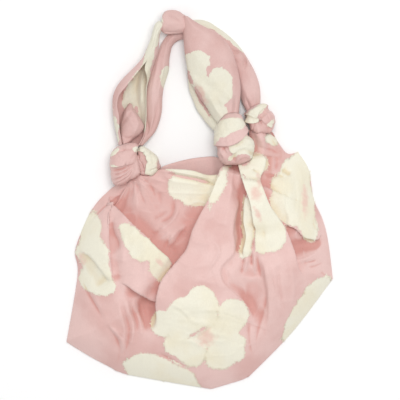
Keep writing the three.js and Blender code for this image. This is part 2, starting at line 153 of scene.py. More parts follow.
# Folds: the cloth on the left of each path, seen along it, lies over the cloth on its right. A
# row gives the rise, the length over which the rise dies away, the depth of the groove at the
# fold's foot, half the distance between its two turns, how far it laps over, the lengths over
# which it fades at its start and its end, and the path
FOLDS = {
    "left flap": "20 60 7 4 8 14 4 -39,-96 -54,-84.5 -70,-70 -83,-56 -100,-41 -113,-28 -125,-16 -137,-4",
    "bundle": "5 16 5 2.5 3 6 6 -128,-15 -121,0 -112,15 -102,32",
    "right flap": "19 70 7 4.5 8 14 60 40,57 34,46 26,22 13,-6 3,-24 -8,-46 -12,-60 -18,-76 -32,-93 "
        "-53,-119 -59,-136 -63,-155 -65,-177 -72,-201",
    "left flap hem": "10 35 7 3.5 6 36 14 -127,-121 -107,-127 -86,-139 -62,-154",
    "tongue right": "11 26 4 3.5 7 50 4 158,-122 144,-97 134,-69 124,-45 113,-28 101,-11 93,8 87,24 "
        "86,34 90,42 94,53 95,68",
    "tongue left": "9 24 6 3.5 6 4 16 58,60 61,46 66,28 73,8 77.5,-6.5 80,-25 82,-38 82,-50",
    "second pleat": "5 9 6 2.5 4 26 10 66,26 66,4 66,-14 66,-34 69.5,-55 62,-84",
    "drape edge": "9 26 4 3.5 6 8 10 126,-37 138,-38 147,-44 155,-53 166,-56 176,-57 183,-50",
    "side crease": "5 18 4 2.5 3 20 4 -127,-130 -132,-100 -134,-80 -136,-50 -136,-14 -136,8",
    "flower crease": "7 20 7 4 2 8 12 -185,-76 -169,-81 -158,-91 -148,-104 -132,-124",
    "slack crease": "3 12 3 2.5 0.8 40 20 86,-192 78,-172 66,-152 52,-138 38,-126 31,-112 33,-98 47,-84 "
        "53,-70 50,-48 53,-25 58,-6 56,11",
    "tongue foot": "6 24 4 4 0.8 20 50 88,-84 94,-106 98,-132 101,-160 100,-190 96,-214",
}

# Smaller creases: lift over the cloth (a trough where it is negative), half width on the
# path's left and on its right, and the path
CREASES = [
    # Hem
    "4 4 3 -66,42 -42,42 -15,38 8,33 28,29", "-8 2 2.5 -52,40 -22,34 0,29.5 26,22",
    # Under the left knots
    "4 3 5 -100,32 -112,21 -126,13 -135,4", "-4 1.5 3 -104,34 -122,24 -138,12 -141,-2",
    "-4 1.6 3 -104,28 -116,14 -127,-2 -128,-16", "-3 1.5 3 -95,34 -88,10 -78,-12",
    "2.5 1.6 4 -98,34 -96,10 -88,-14", "-2.5 1.5 3 -90,36 -72,20 -66,-2", "2 2 4 -84,40 -68,32 -50,26",
    # Left panel
    "-4 2 5 -130,-18 -129,-46 -121,-62 -120,-84", "2.5 3 5 -112,-40 -112,-66 -116,-100",
    # Lower left
    "-6 2.5 6 -181,-112 -164,-143 -153,-161 -143,-180",
    "-4 2 5 -143,-182 -124,-206 -119,-228 -127,-252", "4 3 6 -136,-186 -116,-208 -111,-230",
    "2.5 2 4 -122,-142 -118,-166 -112,-190 -114,-214 -124,-250",
    "-3 1.5 3 -116,-144 -112,-166 -105,-190 -108,-214 -120,-248",
    "2.5 1.5 3 -108,-143 -106,-162 -99,-180 -99,-200 -106,-224",
    "-3 1.5 3 -102,-143 -100,-162 -93,-182 -94,-202",
    "2 1.5 3 -94,-144 -93,-162 -88,-180 -86,-198 -90,-214",
    "-2.5 1.5 3 -88,-148 -87,-166 -81,-184 -80,-200", "-6 6 8 -74,-156 -76,-174 -70,-196",
    # Hollow between the flaps
    "-3.5 1.6 4 -40,4 -39,-14 -46,-27 -66,-36", "2.5 2 4 -34,0 -34,-20 -48,-38 -72,-50",
    "-2.5 1.5 3 -44,-12 -56,-22 -72,-30", "-4 1.6 4 -10,-36 -28,-54 -42,-70 -50,-80",
    "2.5 2 5 -16,-34 -36,-50 -50,-66", "-3 1.4 3 -42,-50 -48,-62 -51,-76",
    "-2.5 1.4 3 -55,-36 -66,-50 -80,-52", "-2 4 6 -60,18 -60,0 -54,-12",
    # Right flap
    "3 1.6 4 16,-62 27,-68 28,-80 12,-106", "2 2 8 10,-10 4,-44 10,-66", "4 4 9 -10,-57 4,-64 16,-64",
    # Beside the tongue
    "-7 3.5 5 57,44 61,22 62,-14 59,-42 61,-66 56,-84", "-5 1.8 3 77,-28 79.5,-54 76,-82",
    "-4 1.5 3 66,-82 61,-112", "3 1.5 2.5 70,-82 68,-108", "-5 1.8 3 76,-74 77,-100",
    "-4 1.6 3 83,-76 90,-118", "3 1.5 2.5 80,-80 83,-112", "2.5 2 4 54,-110 72,-117 92,-115",
    # Below the tongue
    "-3 2 6 73,-176 74,-210 80,-238", "-3 2 5 100,-110 98,-145 90,-180 84,-210 85,-240",
    "4 4 9 96,-86 108,-130 116,-170", "-3 1.8 4 118,-90 117,-120 126,-170",
    "-2.5 1.8 4 106,-96 112,-140 116,-178", "2.5 2 5 134,-92 140,-130 134,-170",
    "3 4 9 146,-96 154,-116 166,-134 178,-148",
    # Right corner
    "-3 1.8 3 178,-104 188,-113 199,-117", "6 2.5 5 136,-80 148,-89 163,-84 178,-74 188,-58",
    "-4 2 4 150,-92 164,-92 178,-88", "-3 2 4 158,-100 172,-98 188,-90",
    # Tongue
    "-2 2 4 78,40 82,18 86,-4", "2 3 6 86,38 92,8 102,-30", "2 2 4 66,46 72,14 78,-10",
    "-2 2 3 88,-20 94,-44 96,-68", "-4 1.6 3 72,48 82,44 96,36",
    # Drape
    "-5 1.6 4 94,38 106,37 120,36 130,32", "-8 6 5 120,46 128,42 136,35", "3 3 5 118,31 130,28 142,34",
    "4 4 6 142,62 152,40 158,6 164,-40", "-3 2 4 142,34 144,4 140,-30", "3 2 5 124,22 126,-4 132,-30",
    "-3 2 4 158,30 150,0 154,-40",
    # Neck
    "-3 1.6 4 80,102 83,90 85,80 84,68", "2 7 7 88,110 92,96 95,82",
    "-3 2 4 104,108 101,92 103,80 105,70", "-3 1.6 4 84,80 96,77 108,75 118,68",
    "-1.5 1.2 2 88,88 90,78 88,66", "1.2 1.5 2 92,86 95,76 93,64", "-1.5 1.2 2 97,88 99,76 98,62",
    # Beside the neck
    "-2 1.6 3 104,92 116,80 122,68 118,58", "2 2 4 108,98 122,82 132,70",
    "-1.5 1.5 3 104,70 104,54 103,40", "1.5 2 3 110,70 110,56 108,42",
    "-1.5 1.5 3 116,66 115,54 112,42",
    # Large flower
    "1.2 2 6 -58,-164 -34,-158 -8,-180 18,-186", "-2 1.4 3 -14,-206 2,-200 20,-184",
    "-1.8 1.4 3 -48,-156 -28,-166 -12,-184", "1.8 2 5 30,-160 34,-184 24,-204",
    "1.8 2 5 -44,-212 -20,-208 0,-216 24,-236", "-3 1.5 3 -66,-226 -40,-238 -12,-254",
]

# How many of its widths from a fold its groove lies; over what share of a crease it fades at
# each end, how sharp it is, the spacing of its points and how many half widths it reaches
GROOVE_PLACE = 3
CREASE_FADE = 0.3
CREASE_SHARP = 1.25
CREASE_SPACING = 4.0
CREASE_REACH = 5

# Heights of the crumples, the wrinkles and the woven patches, and how far from the pouch's edge
# they, the hollows' shade and the folds' shift set in. Waves are noises, each with its height,
# the width and length of its cells, and its seed. Hollows are found at three scales: the grid
# cells averaged over and the depth that counts in full
CRUMPLE = 0.8
CRUMPLE_WAVES = [(1, 17, 26, 3), (0.5, 8, 13, 4)]
WRINKLE = 1.6
PETAL_LIFT = 0.5
ROUGH_FROM_EDGE = 30
HOLLOW_FROM_EDGE = (2, 16)
SHIFT_FROM_EDGE = 14
KNOT_WAVES = [(0.5, 6, 6, 70), (0.3, 2.5, 2.5, 71)]
HOLLOW_SCALES = [(3, 4), (10, 24), (24, 40)]

# Frayed threads within reach of the flowers' edges: tufts, kept apart from each other, and
# hairs. They grow where the grid's cells are smaller than cell and face up by more than level,
# start inset inside the edge and a little above the cloth, and swing to either side
FRINGE = {
    "seed": 5, "tufts": 1500, "hairs": 2500, "apart": 2.2, "reach": 1.2, "swing": 0.35,
    "cell": 5, "level": 0.4, "inset": 0.8, "above": 0.15, "petal": -8.0,
    "tuft": {"length": (1.6, 4.2), "half_width": (0.3, 0.7), "rise": (0.1, 0.5)},
    "hair": {"length": (1.0, 4.0), "half_width": (0.1, 0.2), "rise": (0.2, 0.9)},
}

# Where cloth is drawn together its pleats fan out, at the left knots, the right knots and the
# neck behind them: centre, direction of the fan's middle and its half spread in degrees, reach,
# number of pleats in a full turn and their height. They die away from FAN_START outwards, and
# over the last FAN_FADE degrees on each side
FANS = [
    (-97, 36, 262, 95, 45, 24, 1.0), (52, 72, 255, 34, 50, 30, 1.4), (92, 122, 285, 40, 50, 30, 0.6),
]
FAN_START = 20
FAN_FADE = 25

# The woven pattern. A patch has a centre, half sizes and a turn in degrees. It is cream, or pink
# over the cream before it where its row ends with "pink"
PETALS_FRONT = [
    (2, -156, 24, 28, 0), (-22, -169, 26, 25, 0), (-55, -183, 18, 18, 0), (49, -171, 21, 26, 0),
    (41, -219, 27, 26, 0), (28, -233, 22, 19, 0), (-21, -222, 32, 26, -18), (4, -195, 42, 26, 0),
    (137, -192, 22, 9, 57), (-76, -250, 35, 22, -6), (-34, -266, 36, 18, -28), (-12, -280, 16, 10, -30),
    (-38, -236, 26, 2.4, -32, "pink"), (1, -193, 19, 3.4, 33, "pink"), (176, -136, 27, 15, 48),
    (150, -174, 26, 15, 62), (160, -154, 12, 13, 0), (-165, -48, 16, 32, -14), (-161, -78, 24, 26, 0),
    (-150, -102, 15, 26, 0), (-156, -115, 25, 24, 0), (-143, -129, 18, 14, 0),
]
PETALS_CENTRE = [
    (-8, 18, 40, 27, -10), (-18, 43, 50, 6, -10), (-12, 31.5, 36, 1.4, -13, "pink"),
]
PETALS_LEFT_FLAP = [
    (-99, -59, 24, 13, -60), (-86, -72, 23, 18, -45), (-60, -86, 24, 13, -45), (-60, -103, 23, 12, -62),
    (-113, -40, 6, 6, 0),
]
PETALS_RIGHT_FLAP = [
    (27, 20, 8, 31, -25), (71, -38, 8, 38, 3), (67, -68, 7, 18, -16),
]
PETALS_TONGUE = [
    (78, 30, 30, 40, 0), (88, -10, 34, 34, 0), (103, -49, 26, 27, 20), (90, -58, 14, 20, 0),
    (66, 59, 9, 8, 0, "pink"),
]
PETALS_DRAPE = [
    (143, 40, 24, 24, 0), (148, 58, 10, 12, -30), (128, -2, 23, 38, 20), (152, 0, 18, 44, 8),
    (163, -42, 13, 18, 5), (166, -52, 9, 9, 0), (100, 20, 8, 17, 12, "pink"),
    (143, -50, 6, 13, 24, "pink"), (92, 54, 9, 12, 0), (108, 89, 10, 6, -45), (121, 22, 17, 14, 0),
]
PETALS_FRONT_HANDLE = [
    (-6, 206, 22, 17, 0), (28, 168, 21, 30, 0), (-4, 180, 16, 26, 0), (8, 156, 24, 24, 0),
    (24, 205, 11, 8, -35, "pink"), (20, 132, 19, 18, 30), (-8, 138, 14, 18, 50), (16, 112, 22, 12, 45),
    (-5, 162, 26, 1.5, -62, "pink"), (-72, 232, 44, 8, 76), (-95, 166, 36, 15, 62),
    (-86, 142, 36, 8, 96), (-126, 108, 22, 4, 96), (-64, 262, 9, 8, 0), (-60, 226, 26, 3, 82, "pink"),
]
PETALS_BACK_HANDLE = [
    (-51, 184, 9, 15, -8), (30, 262, 50, 12, -37), (5, 268, 24, 9, -10), (38, 222, 22, 10, -50, "pink"),
    (58, 232, 16, 5, -50),
]
HEARTS = [
    (9, -204, 19, 17, 0), (-176, -88, 10, 12, 0), (82, 10, 12, 14, 10), (85, -20, 6, 14, 20),
    (157, 0, 7, 30, 0), (48, 125, 18, 5, 0), (88, 30, 6, 14, 10), (-63, 54, 4, 9, 0),
    (2, 158, 7, 22, 28), (-60, -92, 10, 5, -45),
]

# Distance from the patches where there are none, how softly patches join, the unevenness of
# their edges, the distance that counts as open cloth, the values of cloth without pattern, and
# how much the hearts are blushed, from where to where
FAR = 60.0
CREAM_BLEND = 5.0
PINK_BLEND = 1.0
PATCH_WAVES = [(2.2, 13, 13, 40), (1, 5, 5, 41), (0.8, 2, 2, 42)]
OPEN = 30.0
# Cloth without pattern has a hollow value below 0, so it is lightened by the painted highlight of ridges
PLAIN = {"petal": OPEN, "heart": 0.0, "hollow": -0.5}
BLUSHED = 0.9
HEART_FADE = (0.2, 1.3)

# Bands of the handles, each cloth rolled lengthwise. A row has three pairs: a point on the left
# edge and one on the right, as one looks along the band, then the lowest height and the loft.
# The curls are how far the left and right edges turn round from the middle, in degrees, for the
# whole band or for each row
LEAF = (
    "-122,82 -90,81 10,11  -123,88.5 -87,87 8,12  -125,99 -83,97.5 5,14  -128,111 -81,109.5 4,15 "
    "-130,126 -80,124.5 3.5,16  -131,141 -80,139.5 3,16  -130,156 -80,154.5 3,16 "
    "-124.5,169.5 -79,169.5 3,16  -115.5,181.5 -75,183 4,16  -105,192 -71,196.5 6,15 "
    "-94.5,202.5 -67,208.5 9,14  -85.5,213 -63,219 12,13  -79.5,226.5 -61,231 14,12 "
    "-74,240 -60.5,241.5 15,11  -70.5,253.5 -59,249 15,11  -67,263 -56,254 15,11 "
    "-61,268 -52,258.5 16,9"
)
LEAF_CURLS = (
    [140, 135, 132, 136, 140, 134, 140, 160, 168, 174, 178] + [180] * 6,
    [120, 110, 100, 95] + [92] * 3 + [96, 125, 160, 176] + [180] * 6,
)
FOOT = (
    "-117,84 -108,82.5 14,7  -119,93 -100,91 11,9  -119,101 -89.5,99 8,11  -118.5,111 -83.5,109 6.5,12 "
    "-117,120 -87,119 6,12  -115,130 -93.5,129 6,11  -111,138 -99,137 6,8  -106,145 -102,144 6,4"
)
FOOT_CURLS = (150, 150)
CROWN = (
    "-58.5,265.5 -58.5,259.5 17,6  -57,273 -58,254 14,10  -55,279 -55.5,250 13,12 "
    "-49.5,283 -49.5,247.5 12,13  -40.5,284 -40.5,248 12,13  -31.5,282 -31,248.5 12,13 "
    "-24,277 -22.5,250 12,12  -15,271.5 -13.5,250.5 11,11"
)
CROWN_CURLS = (150, 150)
WIDE = (
    "33,106.5 57,114 18,12  23,117.5 58,126 12,15  12,135 59,141 9,17  2,148.5 60.5,156 9,18 "
    "-6,162 60.5,171 9,18  -13.5,174 58,187.5 10,17  -17.5,186 54,204 10,16  -20,201 48,222 11,16 "
    "-22.5,216 37.5,238 12,15  -24,231 24,250.5 13,14  -25,246 10.5,257 13,14  -25,261 -4.5,265 14,13 "
    "-25.5,274.5 -18,274 16,10"
)
WIDE_CURLS = (150, [120] * 7 + [125, 125] + [130] * 4)
ROLL = (
    "24,100.5 42,115.5 12,7  12,112.5 30,132 5,7  4,123 22.5,145.5 3,6  -4.5,135 15,156 3,6 "
    "-10.5,150 9,168 3,6  -16,165 3,177 4,6  -18,180 -1.5,186 6,6  -19,190.5 -6,195 8,6"
)
ROLL_CURLS = (150, 90)
BACK = (
    "-98,83 -86,81 8,8  -92,94 -76.5,91 5,9  -86,104.5 -67,102.5 1.5,10  -82.5,118.5 -60.5,118.5 0.5,10 "
    "-82,135 -57,135 0,10  -82,150 -56.5,150 0,10  -81,165 -55,165 0,10  -78,180 -51,180 0,9 "
    "-74,195 -46.5,195 0,9  -69,210 -46,210 0,8  -63,223.5 -44,222 0,8  -58.5,234 -42,229.5 0,8 "
    "-52.5,243 -37,236 0,8  -43.5,253.5 -30,240 0,8  -30,262.5 -21,241 0,8  -15,269 -12,243 0,8 "
    "0,270.5 -1.5,242 0,8  13.5,267 7.5,240 0,8  26,259 13.5,235.5 0,9  40,249 22.5,226.5 0,9 "
    "54,236 33,217.5 0,9  65,222 41,208.5 0,10  73.5,208.5 46.5,198 0,10  81.5,194 52,186 0,10 "
    "88,177 56,171 0,10  90.5,162 60,157.5 0,10  90.5,148.5 64,144 1,10  88.5,135 70.5,130.5 3,9 "
    "86,124.5 74,120 6,9"
)
BACK_CURLS = ([140, 135] + [130] * 27, [140, 135] + [130] * 27)
LEAF_CREASES = [
    "-3 1.5 3 -120,176 -116,160 -118,144", "2 2 4 -110,186 -104,168 -106,148",
    "3 2 3 -86,196 -88,170 -88,140", "-3 1.4 2.4 -65,243 -67,220 -70,203",
    "1.5 1.5 2 -66,256 -72,232 -82,206", "-2.5 1.2 2 -72,258 -65,253 -58,246",
]
FOOT_CREASES = [
    "-2.5 1.5 3 -119,112 -109,124 -101,135", "2 2 4 -97,128 -92,112 -100,96",
    "-2 1.5 3 -117,96 -108,92 -98,96",
]
CROWN_CREASES = [
    "-3 2 3 -50,279 -41,273 -27,264", "-2.5 1.5 2 -58,252 -42,250 -26,252",
]
WIDE_CREASES = [
    "-1.5 6 8 -10,188 5,176 22,160", "-1.5 6 8 4,240 20,216 28,190",
    "2 4 8 32,236 44,200 50,165 48,135", "2.5 3 4 10,158 22,138 34,118", "-3 3 3 20,158 30,138 38,118",
    "3 3 4 46,164 47,140 46,118", "-3 2.5 3 52,160 52,140 50,120",
]
BACK_CREASES = [
    "-4 1.8 2.5 45,228 52,221.5 61,222 67,214 68,204 64,192", "3 2 4 52,232 64,220 72,206 76,190",
    "-3 2 3 68,156 74,140 82,124", "2 2 3 82,166 82,148 86,128", "-2 2 3 -62,156 -66,124 -78,92",
    "-3 2 2 -80,122 -77,106 -82,90", "2 2 4 -50,214 -58,180 -64,150",
]

# Mesh of the bands, the height of their pleats and roughness as a share of the loft, and their
# deepest shade
BAND_ACROSS = 64
BAND_SPACING = 1.6
BAND_PLEATS = 0.05
BAND_ROUGH = 0.04
BAND_SHADE = 0.8

# Knots: middle, height of the middle and half height, how full the knot is by bearing, and the
# outline seen from above. Their folds, creases and patches are given as the pouch's are. A lip
# leans over the knot beside it: its bearing and half spread in degrees, its reach, and the
# heights between which it begins. under gives the patches of the cloth under one of the folds
KNOTS = {
    "knot_left_back": dict(
        place=(-77, 57), middle=19, half=18.5,
        full=[(0, 0.8), (80, 0.65), (120, 0.35), (240, 0.35), (290, 0.6)],
        outline="-84,80 -73.8,73 -64.5,65 -60.5,55.5 -58,49 -65,41 -73,36 -81.5,35 -89.8,38.5 -93,47 "
                "-95.3,57 -95.6,67.5 -91,77",
        folds={
            "outer wrap": "3 14 3 1.8 2.5 2 2 -97,71 -88,73 -81,68 -79,58 -80,47 -82,37",
        },
        creases=[
            "2 1.5 2.5 -95,69 -88,65 -84,54 -84,42", "-2.2 1.2 2.2 -95,63 -89,55 -86,43",
            "-0.8 1.2 2 -94,57 -90,50 -87,43", "-1.5 1.5 2.5 -76,74 -71,62 -70,46",
            "1.5 2 3 -70,70 -65,58 -66,46", "-2 1.5 2 -76,41 -70,45 -60,47",
        ],
        petals=[
            (-70, 60, 18, 28, 0), (-86, 77, 12, 5, 0), (-59, 52, 5, 8, 0, "pink"),
            (-89, 54, 10, 16, 12, "pink"),
        ],
    ),
    "knot_left_front": dict(
        place=(-112, 51), middle=25, half=23, lip=(4, 82, 4.2, 34, 40),
        full=[(-70, 0.6), (-40, 0.45), (0, 0.4), (45, 0.45), (90, 0.6), (150, 0.8), (230, 0.8)],
        outline="-118.8,82.5 -106.5,86 -98,85.5 -92.3,80.5 -94.7,71 -95.2,61 -92.5,50 -91.2,41 -98,34.3 "
                "-108,25 -120,20 -127.5,20.3 -132,27 -135.5,42.3 -135,57.6 -133.2,69 -127.5,77.3",
        folds={
            "upper wrap": "2 22 4 2 1.5 12 10 -140,46.5 -123,49 -108,52 -96,55 -89,56",
        },
        creases=[
            "-3.2 1.3 2.4 -93,53.5 -108,47.5 -123,43 -138,42",
            "-3.2 1.3 2.4 -93,52 -106.5,43 -121.5,36.3 -138,34",
            "-3.2 1.3 2.4 -93,50.5 -105,39.3 -118.5,31 -135,26",
            "-3.2 1.3 2.4 -93.5,49 -103,36 -114,28 -130,20", "-2.2 1.2 2.2 -94,47.5 -99,36 -107,26",
            "1.8 1.2 2 -94,52.8 -107,45.3 -122,39.8 -138,38",
            "1.8 1.2 2 -94,51.3 -106,41.3 -120,33.8 -136,30",
            "1.8 1.2 2 -94,49.8 -104,37.7 -116,29.5 -131,23", "-2.5 2.5 4 -108,53.5 -99,56 -91,58",
            "1.2 1.5 3 -128,77 -120,70 -117,60", "-1.2 1.5 3 -90,72 -98,66 -102,60",
            "-2.6 2 3 -131,64 -123,72 -113,76 -103,77", "-1.8 1.5 2.5 -124,81 -112,77 -98,78 -90,81",
            "1.2 2 3 -106,86 -110,76 -114,66",
        ],
        petals=[(-126, 73, 10, 2.6, 44), (-128, 51, 10, 1.6, -4), (-94, 76.5, 7, 4.5, -10)],
    ),
    "knot_right_back": dict(
        place=(88, 121), middle=22, half=21,
        full=[(-150, 0.6), (-90, 0.45), (-50, 0.6), (-20, 0.8), (90, 0.8), (180, 0.6)],
        outline="66.3,120 68.8,128 76,135 84,141 93.6,143.5 102.5,141 109,132 112,122 112,111 108,102 "
                "103,98.5 95,98 84,98.5 75.5,103 69.5,112",
        folds={
            "wrap a": "2.5 14 3 1.6 2 3 2 85,123 87,128.4 93.6,135.8 100,139.8 107,143",
            "wrap b": "2.5 12 2.5 1.6 2 2 3 63,128 75.7,125.5 84,121.5 91,122",
            "lobe": "2.5 12 3 1.6 2 3 2 90,122.5 98,113 108,106",
            "neck": "3 10 3 1.6 2 2 3 63,117 74,114 84,115 92,118",
        },
        creases=[
            "-1.5 1.2 2 96,134 102,126 104,116", "1.5 1.5 2.5 70,126 82,134 92,141",
            "-2 1.2 2 97,116 104,112 112,113", "-1.5 1.2 2 77,96 78,106 80,113",
            "2 4 4 88,96 86,106 82,114",
        ],
        petals=[(84, 131.5, 20, 6, 36), (76, 120, 14, 5, -8), (105.5, 113, 9, 4.5, 50)],
    ),
    "knot_right_front": dict(
        place=(51, 92), middle=36, half=28,
        full=[(-150, 0.8), (-90, 0.65), (-30, 0.65), (30, 0.7), (90, 0.8)],
        outline="42,130.5 54,131 61.5,129 65,121 69,109 75,97 81.5,87 82.5,75 80,63 72,56 60,52 48,50.5 "
                "37,51 28,58 22.5,72 20.5,85.5 20.5,99 23.5,109.5 28.5,118.5 34.5,126",
        folds={
            "wrap a": "2.4 18 3 1.6 2 3 3 18,80 30,80 45.8,80.7 57.8,86.1 66.3,94.5 73,103 78,111",
            "wrap b": "1.2 12 2.5 2 0.6 4 8 36,80 40,75 43,69 49,66 57,67",
            "arch": "1.6 6 3 1.4 0.8 3 3 80,61 73,66 65,67.5 57,62 52,52",
        },
        creases=[
            "-1.2 1.6 2.6 30,91 48,100.5 60,106.6 72,112", "1.2 1.6 3 26,112 36,119 48,122 62,120",
            "-1.8 1.2 2 26,79 33,72 40,63", "1.5 1.2 2 23,78 30,69 37,59",
            "-1.8 1.2 2 20,76 27,66 34,55", "-1 1.4 2 60,87 69,81 80,77",
            "-1.2 1 1.6 57,54 63,60 72,61", "1 1 1.6 60,52 66,57 75,58",
        ],
        petals=[(40, 108, 27, 13.5, 18), (25, 92, 5, 16, 0), (52, 91, 33, 10, 27, "pink")],
        under=("wrap a", [
            (65, 79, 25, 17, 0), (27, 68, 14, 16, 0, "pink"), (49, 61, 9, 3.5, 20),
            (66, 56, 12, 10, 0, "pink"), (81, 60, 5, 12, 0),
        ]),
    ),
}

# Mesh of the knots, the share of their size that is left under the relief, the share of its
# shift that stays at their sides, their shade, the unevenness of their patches, and how far
# outside a knot cloth is still tested against it
KNOT_RIM = 600
KNOT_AROUND = 190
KNOT_DOWN = 130
KNOT_CORE = 0.96
KNOT_SIDE_SHIFT = 0.25
KNOT_SHADE = 1.3
KNOT_UNEVEN = 0.5
KNOT_MARGIN = 2


def smooth(value, low, high):
    """0 below low, 1 above high, and a smooth step between them."""
    t = np.clip((value - low) / (high - low), 0, 1)
    return t * t * (3 - 2 * t)


def noise(x, y, seed):
    """Smooth value noise from -1 to 1 whose cells are 1 wide."""
    x, y = np.broadcast_arrays(np.asarray(x, float), np.asarray(y, float))
    xi, yi = np.floor(x).astype(np.int64), np.floor(y).astype(np.int64)
    fx, fy = x - xi, y - yi
    fx, fy = fx * fx * (3 - 2 * fx), fy * fy * (3 - 2 * fy)

    def corner(i, j):
        n = (i * 374761393 + j * 668265263 + seed * 144269504) & 0xFFFFFFFF
        n = ((n ^ (n >> 13)) * 1274126177) & 0xFFFFFFFF
        return ((n ^ (n >> 16)) & 0xFFFF) / 32767.5 - 1

    low = corner(xi, yi) * (1 - fx) + corner(xi + 1, yi) * fx
    high = corner(xi, yi + 1) * (1 - fx) + corner(xi + 1, yi + 1) * fx
    return low * (1 - fy) + high * fy


def waves(rows, x, y):
    """Noises added up, each with its height, the width and length of its cells, and its seed."""
    return sum(high * noise(x / wide, y / long, seed) for high, wide, long, seed in rows)


def read_path(text):
    """Points of a path that is written as x,y pairs."""
    return [[float(value) for value in point.split(",")] for point in text.split()]


def catmull(rows, place):
    """A table's values, smooth between its rows, at places from 0 to its last row."""
    rows = np.asarray(rows, float)
    place = np.clip(np.asarray(place, float), 0, len(rows) - 1)
    i = np.minimum(place.astype(int), len(rows) - 2)
    t = (place - i)[..., None]
    a, b = rows[np.maximum(i - 1, 0)], rows[i]
    c, d = rows[i + 1], rows[np.minimum(i + 2, len(rows) - 1)]
    return b + 0.5 * t * (c - a + t * (2 * a - 5 * b + 4 * c - d + t * (3 * (b - c) + d - a)))


class Side:
    """A smooth curve through a path's points, read by its length from 0 to 1."""

    def __init__(self, path):
        self.corners = read_path(path)
        self.points = catmull(self.corners, np.linspace(0, len(self.corners) - 1, CURVE_POINTS))
        steps = np.linalg.norm(np.diff(self.points, axis=0), axis=1)
        self.run = np.concatenate([[0], np.cumsum(steps)])
        self.length = self.run[-1]

    def at(self, share):
        run = np.asarray(share, float) * self.length
        return np.stack([np.interp(run, self.run, self.points[:, k]) for k in (0, 1)], -1)

    def line(self, spacing=LINE_SPACING):
        return self.at(np.linspace(0, 1, max(3, int(self.length / spacing))))


def read_row(text, count):
    """The first numbers of a row that ends with a path, and the path's curve."""
    *numbers, path = text.split(" ", count)
    return *map(float, numbers), Side(path)


def nearest(path, x, y):
    """Signed distance to a path, positive on its left, with the length run along it, its whole
    length and its left normal."""
    best = np.full(x.shape, np.inf)
    sign, run = np.ones(x.shape), np.zeros(x.shape)
    normal = np.zeros(x.shape + (2,))
    start = 0.0
    for (ax, ay), (bx, by) in zip(path[:-1], path[1:]):
        dx, dy = bx - ax, by - ay
        length = math.hypot(dx, dy)
        if length == 0:
            continue
        t = np.clip(((x - ax) * dx + (y - ay) * dy) / length**2, 0, 1)
        away = np.hypot(x - ax - t * dx, y - ay - t * dy)
        closer = away < best
        best = np.where(closer, away, best)
        sign = np.where(closer, np.where(dx * (y - ay) - dy * (x - ax) >= 0, 1.0, -1.0), sign)
        run = np.where(closer, start + t * length, run)
        normal[closer] = (-dy / length, dx / length)
        start += length
    return best * sign, run, start, normal


def oval(x, y, cx, cy, along, across, turn):
    """Squared distance from an ellipse's centre, 1 on the ellipse."""
    angle = math.radians(turn)
    dx, dy = x - cx, y - cy
    a = (dx * math.cos(angle) + dy * math.sin(angle)) / along
    b = (dy * math.cos(angle) - dx * math.sin(angle)) / across
    return a * a + b * b


def pleats(place, seed):
    """Rounded pleats with sharp valleys, from -1 to 1, along a coordinate in radians."""
    return 1 - 2 * np.abs(np.sin(place + 1.2 * noise(place * 0.35, seed, seed)))


left_side, right_side, bottom_side = Side(LEFT_SIDE), Side(RIGHT_SIDE), Side(BOTTOM_SIDE)
top_left, top_right = Side(TOP_LEFT), Side(TOP_RIGHT)
front_hem, back_hem = Side(FRONT_HEM), Side(BACK_HEM)


def plan_grid():
    """Points of the pouch's plan, blended from its four sides."""
    w = np.linspace(0, 1, ROWS + 1)
    v = w - END_CROWDING * np.sin(2 * np.pi * w) / (2 * np.pi)
    u = np.linspace(0, 1, COLUMNS + 1)
    column = np.arange(COLUMNS + 1)
    top = np.concatenate([
        top_left.at(column[:MOUTH_FROM] / MOUTH_FROM),
        front_hem.at((column[MOUTH_FROM:MOUTH_TO] - MOUTH_FROM) / (MOUTH_TO - MOUTH_FROM)),
        top_right.at((column[MOUTH_TO:] - MOUTH_TO) / (COLUMNS - MOUTH_TO)),
    ])
    bottom = bottom_side.at(u)
    left, right = left_side.at(v)[:, None], right_side.at(v)[:, None]
    ends = left_side.corners[0], right_side.corners[0], bottom_side.corners[0], right_side.corners[-1]
    a, b, c, d = np.array(ends)
    u, v = u[None, :, None], v[:, None, None]
    plan = (1 - v) * top[None] + v * bottom[None] + (1 - u) * left + u * right
    return plan - (1 - u) * (1 - v) * a - u * (1 - v) * b - (1 - u) * v * c - u * v * d


def relief(folds, creases, x, y):
    """What folds and creases do to points of the plan: lift, sideways shift and each fold's
    signed distance."""
    lift, shift = np.zeros(x.shape), np.zeros(x.shape + (2,))
    away = {}
    for name, row in folds.items():
        rise, spread, groove, width, lap, fade_in, fade_out, side = read_row(row, 7)
        s, run, length, normal = nearest(side.line(), x, y)
        away[name] = s
        fade = smooth(run, 0, fade_in) * smooth(length - run, 0, fade_out)
        step = smooth(s, -width, width) * np.exp(-np.maximum(s, 0) / spread)
        foot = GROOVE_PLACE * width
        lift += fade * (rise * step - groove * np.exp(-(((s + foot) / foot) ** 2)))
        pull = -lap * (s / width) * np.exp(0.5 - 0.5 * (s / width) ** 2)
        shift += (fade * pull)[..., None] * normal
    for row in creases:
        high, left, right, side = read_row(row, 3)
        line = side.line(CREASE_SPACING)
        reach = CREASE_REACH * max(left, right)
        low, top = line.min(0) - reach, line.max(0) + reach
        near = (x > low[0]) & (x < top[0]) & (y > low[1]) & (y < top[1])
        s, run, length, _ = nearest(line, x[near], y[near])
        ends = CREASE_FADE * length
        fade = smooth(run, 0, ends) * smooth(length - run, 0, ends)
        lift[near] += high * fade * np.exp(-np.abs(s / np.where(s > 0, left, right)) ** CREASE_SHARP)
    return lift, shift, away


